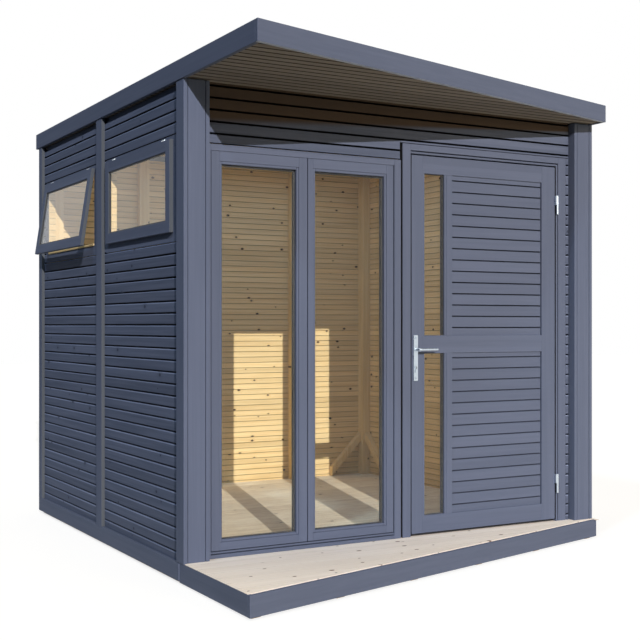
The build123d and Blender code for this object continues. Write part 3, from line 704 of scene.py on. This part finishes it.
def make_steel():
    material, tree, shader = new_material("satin_steel", Metallic=1.0)
    lines = noise(tree, scaled(tree, axes_of(tree), (900.0, 1.0, 14.0)), 1.0, 2.0)
    colour = blend_colour(tree, lines, rgb(0.60, 0.67, 0.73), rgb(0.52, 0.58, 0.64))
    tree.links.new(colour, shader.inputs["Base Color"])
    tree.links.new(fade(tree, lines, 0.2, 0.8, 0.22, 0.36), shader.inputs["Roughness"])
    return material


def speckled(name, first, second, scale, roughness, relief):
    """Dull sheet or rubber with fine specks and faint patches."""
    material, tree, shader = new_material(name, Roughness=roughness)
    place = object_place(tree)
    specks = noise(tree, place, scale, 3.0)
    patches = noise(tree, place, 1.4, 3.0)
    colour = blend_colour(tree, fade(tree, specks, 0.35, 0.65), first, second)
    colour = shaded(tree, colour, fade(tree, patches, 0.3, 0.7, 0.85, 1.1))
    tree.links.new(colour, shader.inputs["Base Color"])
    raise_grain(tree, shader, specks, 0.6, relief)
    return material


glass = make_glass()
steel = make_steel()
roof_sheet = speckled(
    "roofing_felt", rgb(0.035, 0.036, 0.040), rgb(0.075, 0.076, 0.082), 420, 0.9, 0.001
)
# black rubber of the gaskets and seals, also used for sheets of painted shade in gaps and slots
rubber_and_shade_black = speckled(
    "black_rubber_and_painted_shade", rgb(0.010, 0.011, 0.014), rgb(0.016, 0.017, 0.021), 300, 0.55, 0.0001
)
spacer_grey = speckled(
    "grey_spacer", rgb(0.060, 0.062, 0.064), rgb(0.080, 0.082, 0.084), 300, 0.5, 0.0001
)


# -------- walls
def inner_side(axis, level, sign):
    """Says whether a face is on the room's side of a wall."""
    return lambda face: (face.center[axis] - level) * sign > ROOM_SIDE


def front_edge(face):
    """Says whether a face is a board's sawn edge that looks to the front."""
    return looks(face, unit(Y, -1))


def wall_boards(low, high, run, out):
    return boarding(low, high, run, Z, out, BOARD, wall_start, WALL_VEE, 2, ROOM_VEE, 3)


def wall(name, node, run, out, hole=None, trim=0.0):
    """Boarded wall round a hole; trim leaves an open joint at its far end."""
    finishes = (boards_run_x, pine_run_x) if run == X else (boards_run_y, pine_run_y)
    low, high = (list(corner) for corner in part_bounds(node))
    high[run] -= trim
    deep = 3 - run - Z
    spans = [(low[run], high[run], low[Z], high[Z])]
    if hole:
        start, end, foot, head = hole
        spans = [
            (low[run], high[run], low[Z], foot),
            (low[run], start, foot, head),
            (end, high[run], foot, head),
            (low[run], high[run], head, high[Z]),
        ]
    fields = [wall_boards(*spanning(low, high, run, span), run, out) for span in spans]
    room_side = inner_side(deep, (low[deep] + high[deep]) / 2, -out)
    finish(name, fields, finishes[0], [node], inner=finishes[1], is_inner=room_side)


frames_low, frames_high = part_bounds("side_window_frames")
sash_boxes = [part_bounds("side_sash_front"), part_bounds("side_sash_rear")]
frame_width = sash_boxes[0][0][Y] - frames_low[Y]
holes = [
    (box[0][Y] - frame_width, box[1][Y] + frame_width, frames_low[Z], frames_high[Z])
    for box in sash_boxes
]
wall("left_wall_front_boards", "left_wall_front_bay", Y, -1, holes[0])
wall("left_wall_rear_boards", "left_wall_rear_bay", Y, -1, holes[1])
wall("right_wall_boards", "right_wall", Y, 1)
wall("back_wall_boards", "back_wall", X, 1)
wall("hinge_side_stubs", "hinge_side_boards", X, -1, trim=SEAM)

# boards over the glazing and the door, with an open joint under them
low, right_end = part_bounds("header_over_glazing")
door_header_low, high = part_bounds("header_over_door")
low, high = (low[X] + SEAM, low[Y], low[Z]), (high[X] - SEAM, high[Y], high[Z])
level = door_header_low[Z] + SEAM
closed = low[Y] + SEAM_DEPTH
fields = [
    wall_boards([low[X], low[Y], level], high, X, -1),
    wall_boards([low[X], low[Y], low[Z] + SEAM], [right_end[X], high[Y], level], X, -1),
    block([low[X], closed, low[Z]], [right_end[X], high[Y], low[Z] + SEAM]),
    block([right_end[X], closed, level - SEAM], [high[X], high[Y], level]),
]
finish(
    "front_header_boards", fields, boards_with_painted_canopy_shade,
    ["header_over_glazing", "header_over_door"],
    inner=pine_run_x, is_inner=inner_side(Y, (low[Y] + high[Y]) / 2, 1),
)

# -------- roof and deck
for node in ("roof_fascia_front", "roof_fascia_back", "deck_fascia_front"):
    # the front roof fascia's underside gets the painted highlight
    lit_underside = node == "roof_fascia_front"
    finish(
        node + "_board", eased(node, EDGE_EASE), paint_run_x, [node],
        inner=underside_highlight, is_inner=lambda face: lit_underside and looks(face, unit(Z, -1), MOSTLY),
    )
for node in (
    "roof_fascia_left", "roof_fascia_right", "deck_fascia_sides", "skirt_boards", "wall_plates"
):
    finish(node + "_eased", eased(node, EDGE_EASE), paint_run_y, [node])

room_low, room_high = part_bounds("floor_boards")
wall_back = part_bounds("back_wall")[1][Y]
post_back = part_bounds("front_post_left")[1][Y]


def slant(node):
    """Point and outward normal of a wedge's slanted front plane."""
    low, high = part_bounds(node)
    corners = [v.co for v in frame["nodes"][node].data.vertices]
    left = min(c[Y] for c in corners if c[X] < low[X] + AT_END)
    right = min(c[Y] for c in corners if c[X] > high[X] - AT_END)
    run_x, run_y = high[X] - low[X], right - left
    size = math.hypot(run_x, run_y)
    return (low[X], left, low[Z]), (run_y / size, -run_x / size, 0)


def over_room(face):
    """Says whether a ceiling board's face is inside the walls."""
    x, y = face.center[X], face.center[Y]
    return post_back < y < wall_back and room_left < x < room_right


low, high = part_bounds("ceiling_boards")
low_ceiling = low[Z]
room_left, room_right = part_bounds("back_wall")[0][X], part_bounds("back_wall")[1][X]
strips = (
    (low[X], low[Y], high[X], post_back),
    (low[X], post_back, room_left, high[Y]),
    (room_left, post_back, room_right, wall_back),
    (room_right, post_back, high[X], high[Y]),
    (room_left, wall_back, room_right, high[Y]),
)
soffit = [
    boarding((a, b, low[Z]), (c, d, high[Z]), X, Y, -1, SLAT, soffit_start, SOFFIT_VEE)
    for a, b, c, d in strips
]
soffit[0] = saw_each(soffit[0], *slant("ceiling_boards"))
finish(
    "soffit_boards", soffit, soffit_painted_warm_shade, ["ceiling_boards"],
    inner=pine_ceiling, is_inner=over_room,
)

low, high = (list(corner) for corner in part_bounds("deck_boards"))
split = y_face + DECK_SPLIT
front = boarding(low, [high[X], split, high[Z]], X, Y, 1, DECK_BOARD, deck_start, DECK_VEE)
front = saw_each(front, *slant("deck_boards"))
near, far = [room_low[X], split, low[Z]], [room_high[X], high[Y], high[Z]]
rear = boarding(near, far, X, Y, 1, DECK_BOARD, deck_start, DECK_VEE)
finish("deck_planks", [front, rear], deck_timber, ["deck_boards"])
sides_low, sides_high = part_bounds("deck_fascia_sides")
edge_strips = [
    board((start_x, start, sides_high[Z]), (end_x, sides_high[Y], deck_top - STRIP_GAP), SEAL_EASE)
    for start_x, end_x, start in (
        (sides_low[X] + STRIP_GAP, low[X], slant("deck_boards")[0][Y]),
        (high[X], sides_high[X] - STRIP_GAP, sides_high[Y] - DECK_STRIP),
    )
]
finish("deck_edge_strips", edge_strips, deck_timber, [])

low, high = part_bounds("floor_boards")
floor = boarding(low, high, X, Y, 1, FLOOR_BOARD, y_face, FLOOR_VEE)
finish("room_floor_planks", floor, pine_floor, ["floor_boards"])
finish(
    "bearers", eased("floor_bearers", EDGE_EASE), bearer_timber, ["floor_bearers"],
)

low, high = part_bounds("roof_covering")
strip = (high[Y] - low[Y]) / ROOF_STRIPS
sheets = []
for k in range(ROOF_STRIPS):
    start, top = low[Y] + k * strip, low[Z] + FELT
    if k:
        over = (low[X], start - LAP, top), (high[X], start, top + FELT)
        sheets.append(board(*over, GLASS_EASE))
    sheets.append(board((low[X], start, low[Z]), (high[X], start + strip, top), GLASS_EASE))
covering = assemble("roof_covering_strips", sheets)
covering = saw_each(covering, *slant("roof_covering"))
finish("roof_covering_strips", covering, roof_sheet, ["roof_covering"])

# -------- posts and trims
for name, sign in (("front_casing_left", 1), ("front_casing_right", -1)):
    low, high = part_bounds(name)
    outer = low[X] if sign > 0 else high[X]
    parts = []
    for first, last, near_y, far_y, rise in CASING:
        xs = sorted((outer + sign * first, outer + sign * last))
        foot = low[Z] if rise is None else deck_top + rise
        near, far = (xs[0], low[Y] + near_y, foot), (xs[1], low[Y] + far_y, high[Z])
        parts.append(board(near, far, CASING_EASE))
    finish(name + "_boards", parts, paint_upright, [name])

for name, node in (("pilaster_boards", "wall_pilasters"), ("corner_boards", "rear_corner_boards")):
    finish(name, eased(node), paint_upright, [node], inner=paint_edge, is_inner=front_edge)
for name, node in (
    ("rear_post_timbers", "rear_posts"),
    ("brace_timbers", "corner_braces"),
    ("back_wall_stiffeners", "back_wall_uprights"),
    ("front_post_left_timber", "front_post_left"),
    ("front_post_right_timber", "front_post_right"),
):
    finish(name, eased(node, POST_EASE), pine_upright, [node])
for name in ("roof_joists", "roof_boards"):
    frame["nodes"][name].data.materials.clear()
    frame["nodes"][name].data.materials.append(pine_run_y)


# -------- glazing
def double_panes(name, node, spans, body="root", width=SPACER):
    """Panes of two sheets of glass, just inside their faces, and a spacer between the sheets."""
    glasses, spacers = [], []
    for low, high in spans:
        for start in (low[Y], high[Y] - SHEET):
            near, far = (low[X], start, low[Z]), (high[X], start + SHEET, high[Z])
            glasses.append(board(near, far, GLASS_EASE))
        sides = (width, width, SPACER_FOOT, width)
        spacers += ring(*shrunk(low, high, (0, SHEET, 0)), sides, SPACER_EASE)
    finish(name + "_glass", glasses, glass, [node], body)
    finish(name + "_spacers", spacers, spacer_grey, [], body)


def sash_members(low, high, sides):
    """Outer members of a sash and the glazing beads round its glass, for one upright sash."""
    outer = [side - BEAD for side in sides]
    parts = ring(low, high, outer)
    near = [low[X] + outer[0], low[Y] + BEAD_STEP, low[Z] + outer[2]]
    far = [high[X] - outer[1], high[Y] - BEAD_STEP, high[Z] - outer[3]]
    return parts + ring(near, far, (BEAD,) * 4, POST_EASE)


low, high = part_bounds("glazing_frame")
left_low, left_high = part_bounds("glazing_sash_left")
right_low, right_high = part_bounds("glazing_sash_right")
rebate, top = low[Y] + REBATE, high[Z] - HEAD_DROP
sides = (
    left_low[X] - low[X] - SHADOW, high[X] - right_high[X] - SHADOW, SILL_LIP, top - left_high[Z]
)
meeting = left_high[X] - MEETING_GAP / 2, left_high[X] + MEETING_GAP / 2
members = ring(low, (high[X], rebate, top), sides)
members += [
    block((low[X], rebate, low[Z]), (left_low[X], high[Y], top)),
    block((right_high[X], rebate, low[Z]), (high[X], high[Y], top)),
    block((left_low[X], rebate, low[Z]), (right_high[X], high[Y], left_low[Z])),
    block((left_low[X], rebate, left_high[Z]), (right_high[X], high[Y], top)),
    board(
        (left_low[X] - SHADOW, low[Y] + SILL_STEP, low[Z] + SILL_LIP + SHADOW),
        (right_high[X] + SHADOW, rebate, left_low[Z] - SHADOW),
        STRIP_EASE,
    ),
    block(
        (meeting[0], left_low[Y] + SEAM_DEPTH, left_low[Z]),
        (meeting[1], left_high[Y], left_high[Z]),
    ),
]
finish("glazing_frame_members", members, by_grain, ["glazing_frame"])

panes_low, panes_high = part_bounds("glazing_panes")
foot, head = panes_low[Z] - left_low[Z], left_high[Z] - panes_high[Z]
stile = panes_low[X] - left_low[X]
left_stile, right_stile = (width - MEETING_GAP / 2 for width in MEETING_STILES)
for name, low, high, stiles in (
    ("glazing_sash_left", left_low, [meeting[0], *left_high[1:]], (stile, left_stile)),
    ("glazing_sash_right", [meeting[1], *right_low[1:]], right_high, (right_stile, stile)),
):
    members = sash_members(low, high, (*stiles, foot, head))
    finish(name + "_members", members, by_grain, [name])
spans = (
    (panes_low, [meeting[0] - left_stile, *panes_high[1:]]),
    ([meeting[1] + right_stile, *panes_low[1:]], panes_high),
)
double_panes("glazing", "glazing_panes", spans)

# -------- side windows
def bare_inside(face):
    """Says whether a face of the window frames is bare pine."""
    return not looks(face, unit(X, -1), MOSTLY) and face.center[X] > frames_low[X] + FRAME_SKIN


finish(
    "side_window_frame_boards", eased("side_window_frames"), paint_run_y, ["side_window_frames"],
    inner=pine_run_y, is_inner=bare_inside,
)

front_low, front_high = sash_boxes[0]
between = (front_high[Y] + sash_boxes[1][0][Y]) / 2
pane_low, pane_high = part_box("side_window_panes", Y, -math.inf, between)
rear_pane = part_box("side_window_panes", Y, between, math.inf)
member = pane_low[Y] - front_low[Y]
faces = frame["nodes"]["side_sash_rear"].data.polygons
outward = next(face.normal for face in faces if looks(face, unit(X, -1)))
lean = math.atan2(outward[Z], -outward[X])
gaskets, panes = [], []
for name, (low, high), seat in (
    ("side_sash_front", sash_boxes[0], None), ("side_sash_rear", sash_boxes[1], rear_pane)
):
    near, far = [front_low[X], low[Y], front_low[Z]], [front_high[X], high[Y], front_high[Z]]
    members = ring(near, far, (member,) * 4, deep=X)
    near = [pane_low[X], low[Y] + member, pane_low[Z]]
    far = [pane_high[X], high[Y] - member, pane_high[Z]]
    rubber = ring(*shrunk(near, far, (-RUBBER_STEP, 0, 0)), (RUBBER,) * 4, SEAL_EASE, X)
    rubber = assemble(name + "_rubber", rubber)
    glazed = board(*shrunk(near, far, (0, RUBBER_STEP, RUBBER_STEP)), GLASS_EASE)
    if seat:
        members = [tilt(assemble(name + "_open", members), -lean, low, high)]
        for part in (rubber, glazed):
            tilt(part, -lean, *seat)
    gaskets.append(rubber)
    panes.append(glazed)
    finish(name + "_members", members, by_grain, [name], inner=paint_edge, is_inner=front_edge)
rear_low, rear_high = sash_boxes[1]
sill_top = part_box("side_window_frames", Z, 0, rear_low[Z] + SILL_SEARCH)[1][Z]
sill_edge = board(
    (frames_low[X] - SILL_OUT, rear_low[Y] + member / 3, sill_top - SILL_RISE),
    (frames_low[X], rear_high[Y] - member / 3, sill_top),
    STRIP_EASE,
)
finish("side_window_sill_edge", sill_edge, pine_run_y, [])
finish("side_window_gaskets", gaskets, rubber_and_shade_black, [])
finish("side_window_glass", panes, glass, ["side_window_panes"])
barrels = eased("side_window_hinges", SEAL_EASE)
finish("side_hinge_barrels", barrels, steel, ["side_window_hinges"])

# -------- door
low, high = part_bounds("door_frame")
leaf_low, leaf_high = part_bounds("door_leaf")
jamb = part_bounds("header_over_glazing")[1][X] + JAMB_START
joint_front, joint_back = (low[Y] + depth for depth in JAMB_SEAL)
open_left, open_right, open_head = leaf_low[X] - GAP, leaf_high[X] + GAP, leaf_high[Z] + GAP
strip_right, strip_head = open_right + STRIP, open_head + STRIP
body_right, body_head = strip_right + FINE, strip_head + FINE
strip_back = low[Y] + FINE_DEPTH
stop = leaf_high[Y] + STOP_GAP
seal_back = stop + SEAL
lip_left, lip_right, lip_head = open_left + LIP, open_right - LIP, open_head - LIP
parts = [
    board((jamb, low[Y], low[Z]), (open_left, high[Y], high[Z])),
    board((body_right, low[Y], low[Z]), (high[X], high[Y], high[Z])),
    board((open_left, low[Y], body_head), (body_right, high[Y], high[Z])),
    block((open_left, strip_back, open_head), (body_right, high[Y], body_head)),
    block((open_right, strip_back, low[Z]), (body_right, high[Y], open_head)),
    board((open_left, low[Y], open_head), (strip_right, strip_back, strip_head), STRIP_EASE),
    board((open_right, low[Y], low[Z]), (strip_right, strip_back, open_head), STRIP_EASE),
    board((open_left, seal_back, low[Z]), (lip_left, high[Y], lip_head), STRIP_EASE),
    board((lip_right, seal_back, low[Z]), (open_right, high[Y], lip_head), STRIP_EASE),
    board((open_left, seal_back, lip_head), (open_right, high[Y], open_head), STRIP_EASE),
    block((low[X], joint_back, low[Z]), (jamb, high[Y], high[Z])),
]
finish("door_frame_members", parts, by_grain, ["door_frame"])
under_leaf = (leaf_low[Y] + leaf_high[Y]) / 2
foot, fin_back, fin_head = low[Z] + SEAL_FOOT, leaf_low[Y] + FIN_DEPTH, open_head - FIN
seals_and_shade_fins = [
    board((open_left, under_leaf, low[Z]), (open_right, high[Y], low[Z] + SILL_SEAL), STRIP_EASE),
    board((open_left, stop, foot), (lip_left, seal_back, lip_head), SEAL_EASE),
    board((lip_right, stop, foot), (open_right, seal_back, lip_head), SEAL_EASE),
    board((open_left, stop, lip_head), (open_right, seal_back, open_head), SEAL_EASE),
    board((low[X], joint_front, low[Z]), (jamb, joint_back, high[Z]), SEAL_EASE),
    # black fins on the sides of the door's gaps: painted shade
    board((jamb - FIN, low[Y] + FIN_START, low[Z]), (jamb, joint_front, high[Z]), FIN_EASE),
    board((open_right - FIN, leaf_low[Y], foot), (open_right, fin_back, fin_head), FIN_EASE),
]
finish("door_frame_seals_and_shade_fins", seals_and_shade_fins, rubber_and_shade_black, [])
# black fin on the leaf's latch edge: painted shade in the gap
leaf_shade_fin = board(
    (leaf_low[X] - FIN, leaf_low[Y] + FIN_START, leaf_low[Z] + FIN_END),
    (leaf_low[X], fin_back, leaf_high[Z] - FIN_END),
    FIN_EASE,
)
finish("door_leaf_shade_fin", leaf_shade_fin, rubber_and_shade_black, [], "door")

panes_low, panes_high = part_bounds("door_panes")
slats_low, slats_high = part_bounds("door_slat_panels")
levels = (
    (slats_low[Z], slats_low[Z] + FIELD),
    (slats_low[Z] + FIELD + RAIL, slats_high[Z]),
)
rails = ((leaf_low[Z], levels[0][0]), (levels[0][1], levels[1][0]), (levels[1][1], leaf_high[Z]))


def own_material(piece):
    return piece.data.materials[0]


def leaf_part(x_low, x_high, z_low, z_high):
    return board((x_low, leaf_low[Y], z_low), (x_high, leaf_high[Y], z_high), LEAF_EASE)


parts = [
    leaf_part(leaf_low[X], panes_low[X] - BEAD, leaf_low[Z], leaf_high[Z]),
    leaf_part(slats_high[X], leaf_high[X], leaf_low[Z], leaf_high[Z]),
]
parts += [leaf_part(panes_low[X] - BEAD, slats_high[X], foot, head) for foot, head in rails]
for foot, head in levels:
    parts.append(leaf_part(panes_high[X] + BEAD, slats_low[X], foot, head))
    near = [panes_low[X] - BEAD, leaf_low[Y] + BEAD_STEP, foot]
    far = [panes_high[X] + BEAD, leaf_high[Y] - BEAD_STEP, head]
    parts += ring(near, far, (BEAD, BEAD, BEAD_END, BEAD_END), SPACER_EASE)
finish("door_leaf_members", parts, by_grain, ["door_leaf"], "door")

fields = []
for (place, depth), (foot, head) in zip(SLAT_JOINT_SHADES, levels):
    slat_paint = timber(
        "slate_slats_" + place, X, Z, *PAINT, SLAT, head - SLAT_START, 0.04, relief=0.0004,
        joint_shade=(SLAT_JOINT_SHADE, depth, 0.0),
    )
    near, far = [slats_low[X], slats_low[Y], foot], [slats_high[X], slats_high[Y], head]
    field = boarding(near, far, X, Z, -1, SLAT, head - SLAT_START, SLAT_VEE, back=SLAT_BACK_VEE)
    field.data.materials.append(slat_paint)
    fields.append(field)
finish("door_field_slats", fields, own_material, ["door_slat_panels"], "door")
spans = [([*panes_low[:2], foot], [*panes_high[:2], head]) for foot, head in levels]
double_panes("door", "door_panes", spans, "door", DOOR_SPACER)

for name, node, body in (
    ("hinge_knuckles_fixed", "door_hinges_fixed", "root"),
    ("hinge_knuckles_moving", "door_hinges_moving", "door"),
):
    finish(name, eased(node, KNUCKLE_EASE, True), steel, [node], body)
finish("handle_plate_pair", eased("handle_plates"), steel, ["handle_plates"], "door")
plates_low, plates_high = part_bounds("handle_plates")
plate_x, plate_rise = (plates_low[X] + plates_high[X]) / 2, plates_high[Z] - plates_low[Z]


def turned(y, out, z, radius, depth, rise, stand):
    """Small turned part standing out from a plate's face towards the front or back."""
    bpy.ops.mesh.primitive_cylinder_add(
        vertices=ROUND_SIDES,
        radius=radius,
        depth=depth,
        location=(plate_x, y + out * stand, z + rise),
        rotation=(math.radians(90), 0, 0),
    )
    bpy.ops.object.transform_apply()
    return bevel(bpy.context.active_object, depth * ROUND_BEVEL, 1)


def flat(y, out, z, half, foot, head, start, end, ease):
    """Small flat part standing out from a plate's face."""
    near, far = sorted((y + out * start, y + out * end))
    return board((plate_x - half, near, z + foot), (plate_x + half, far, z + head), ease)


lock_z = plates_high[Z] - LOCK_DROP * plate_rise
# black sheets over the lock and the screws paint the shade of the keyway and the slots
fittings, slot_shades = [], []
for y, out in ((plates_low[Y], -1), (plates_high[Y], 1)):
    fittings.append(turned(y, out, lock_z, *LOCK_ROUND))
    fittings.append(flat(y, out, lock_z, *LOCK_TAIL, SEAL_EASE))
    slot_shades.append(flat(y, out, lock_z, *KEYWAY, FIN_EASE))
    for share in SCREW_PLACES:
        z = plates_high[Z] - share * plate_rise
        fittings.append(turned(y, out, z, *SCREW_HEAD))
        slot_shades.append(flat(y, out, z, *SCREW_SLOT, SLOT_EASE))
finish("lock_and_screws", fittings, steel, [], "door")
finish("lock_slot_shades", slot_shades, rubber_and_shade_black, [], "door")
lever = eased("door_lever", STRIP_EASE, True)
finish("lever_handle", lever, steel, ["door_lever"], "lever")

# -------- floor, light and camera
WHITE = rgb(1, 1, 1)
STAGE_SIZE, STAGE_DROP = 60, 0.001
BOUNCE = (rgb(0.07, 0.07, 0.07), rgb(0.85, 0.77, 0.62))  # floor beside and before the pod
BOUNCE_EDGE = 0.6  # metres over which the one turns into the other
FLOOR_SEEN = rgb(0.30, 0.30, 0.30)
FLOOR_GLOW = 0.78
AMBIENT, AMBIENT_STRENGTH = rgb(0.36, 0.68, 1.12), 0.10
ROOM_LIGHT_DROP = 0.08  # under the ceiling
CAMERA_OFFSET = (-2.019, -4.833, 1.099)  # from the left casing's front edge, at the deck's height
CAMERA_TURN = -29.55
SENSOR, LENS, LENS_SHIFT = 36, 63.6, 0.0083


def light_path_share(tree):
    """1 for what the camera, mirrors and glass see, 0 for the light that things get."""
    path = put(tree, "ShaderNodeLightPath").outputs
    seen = maths(tree, "MAXIMUM", path["Is Camera Ray"], path["Is Glossy Ray"])
    seen = maths(tree, "MAXIMUM", seen, path["Is Transmission Ray"])
    direct = maths(tree, "LESS_THAN", path["Diffuse Depth"], 0.5)
    return maths(tree, "MULTIPLY", seen, direct)


def lamp(name, kind, place, turn, energy, colour, hidden=(), **shape):
    """Adds a light; turn is in degrees, hidden names the rays that don't see it."""
    bpy.ops.object.light_add(type=kind, location=place, rotation=[math.radians(a) for a in turn])
    light = bpy.context.active_object
    light.name = name
    light.data.energy = energy
    light.data.color = colour
    for key, value in shape.items():
        setattr(light.data, key, value)
    for ray in hidden:
        setattr(light, "visible_" + ray, False)


bpy.ops.mesh.primitive_plane_add(size=STAGE_SIZE, location=(0, 0, -STAGE_DROP))
ground = bpy.context.active_object
ground.name = "pale_floor"
material, tree, shader = new_material("pale_floor", Roughness=0.9, Specular_IOR_Level=0.0)
shown = light_path_share(tree)
in_front = fade(tree, axes_of(tree)[X], casing_low[X] - BOUNCE_EDGE, casing_low[X])
bounce = blend_colour(tree, in_front, *BOUNCE)
tree.links.new(blend_colour(tree, shown, bounce, FLOOR_SEEN), shader.inputs["Base Color"])
shader.inputs["Emission Color"].default_value = WHITE
tree.links.new(maths(tree, "MULTIPLY", shown, FLOOR_GLOW), shader.inputs["Emission Strength"])
ground.data.materials.append(material)

world = bpy.data.worlds.new("studio")
world.use_nodes = True
bpy.context.scene.world = world
tree = world.node_tree
ambient = tree.nodes["Background"]
ambient.inputs["Color"].default_value = AMBIENT
ambient.inputs["Strength"].default_value = AMBIENT_STRENGTH
white = put(tree, "ShaderNodeBackground", {"Color": WHITE, "Strength": 1.0})
sockets = {0: light_path_share(tree), 1: ambient.outputs[0], 2: white.outputs[0]}
both = put(tree, "ShaderNodeMixShader", sockets)
tree.links.new(both.outputs[0], tree.nodes["World Output"].inputs["Surface"])

lamp(
    "key_light", "SUN", (-3, -8, 4), (71, 0, -15.4), 3.0, (1.0, 0.94, 0.91),
    angle=math.radians(0.3),
)
lamp("top_light", "SUN", (0, 0, 6), (0, 0, 0), 1.05, (1.0, 0.84, 0.50), angle=math.radians(40))
lamp(
    "fill_light", "AREA", (2.6, -5.4, 3.2), (74, 0, 30), 52, (1.0, 0.74, 0.42),
    ("glossy", "transmission"), shape="RECTANGLE", size=4.0, size_y=1.2,
)
lamp(
    "side_light", "SUN", (-6, -4, 6), (42, 0, -60), 0.68, (0.74, 0.93, 1.12),
    angle=math.radians(4),
)
room_middle = ((room_low[X] + room_high[X]) / 2, (y_face + wall_back) / 2)
lamp(
    "room_light", "AREA", (*room_middle, low_ceiling - ROOM_LIGHT_DROP), (0, 0, 0), 8.6,
    (0.44, 0.62, 1.0), ("camera", "glossy", "transmission"), shape="SQUARE", size=1.8,
)

bpy.ops.object.camera_add(
    location=[at + by for at, by in zip((casing_low[X], y_face, deck_top), CAMERA_OFFSET)],
    rotation=(math.radians(90), 0, math.radians(CAMERA_TURN)),
)
camera = bpy.context.active_object
camera.data.sensor_width = SENSOR
camera.data.lens = LENS
camera.data.shift_y = LENS_SHIFT
bpy.context.scene.camera = camera
bpy.context.scene.view_settings.view_transform = "Standard"
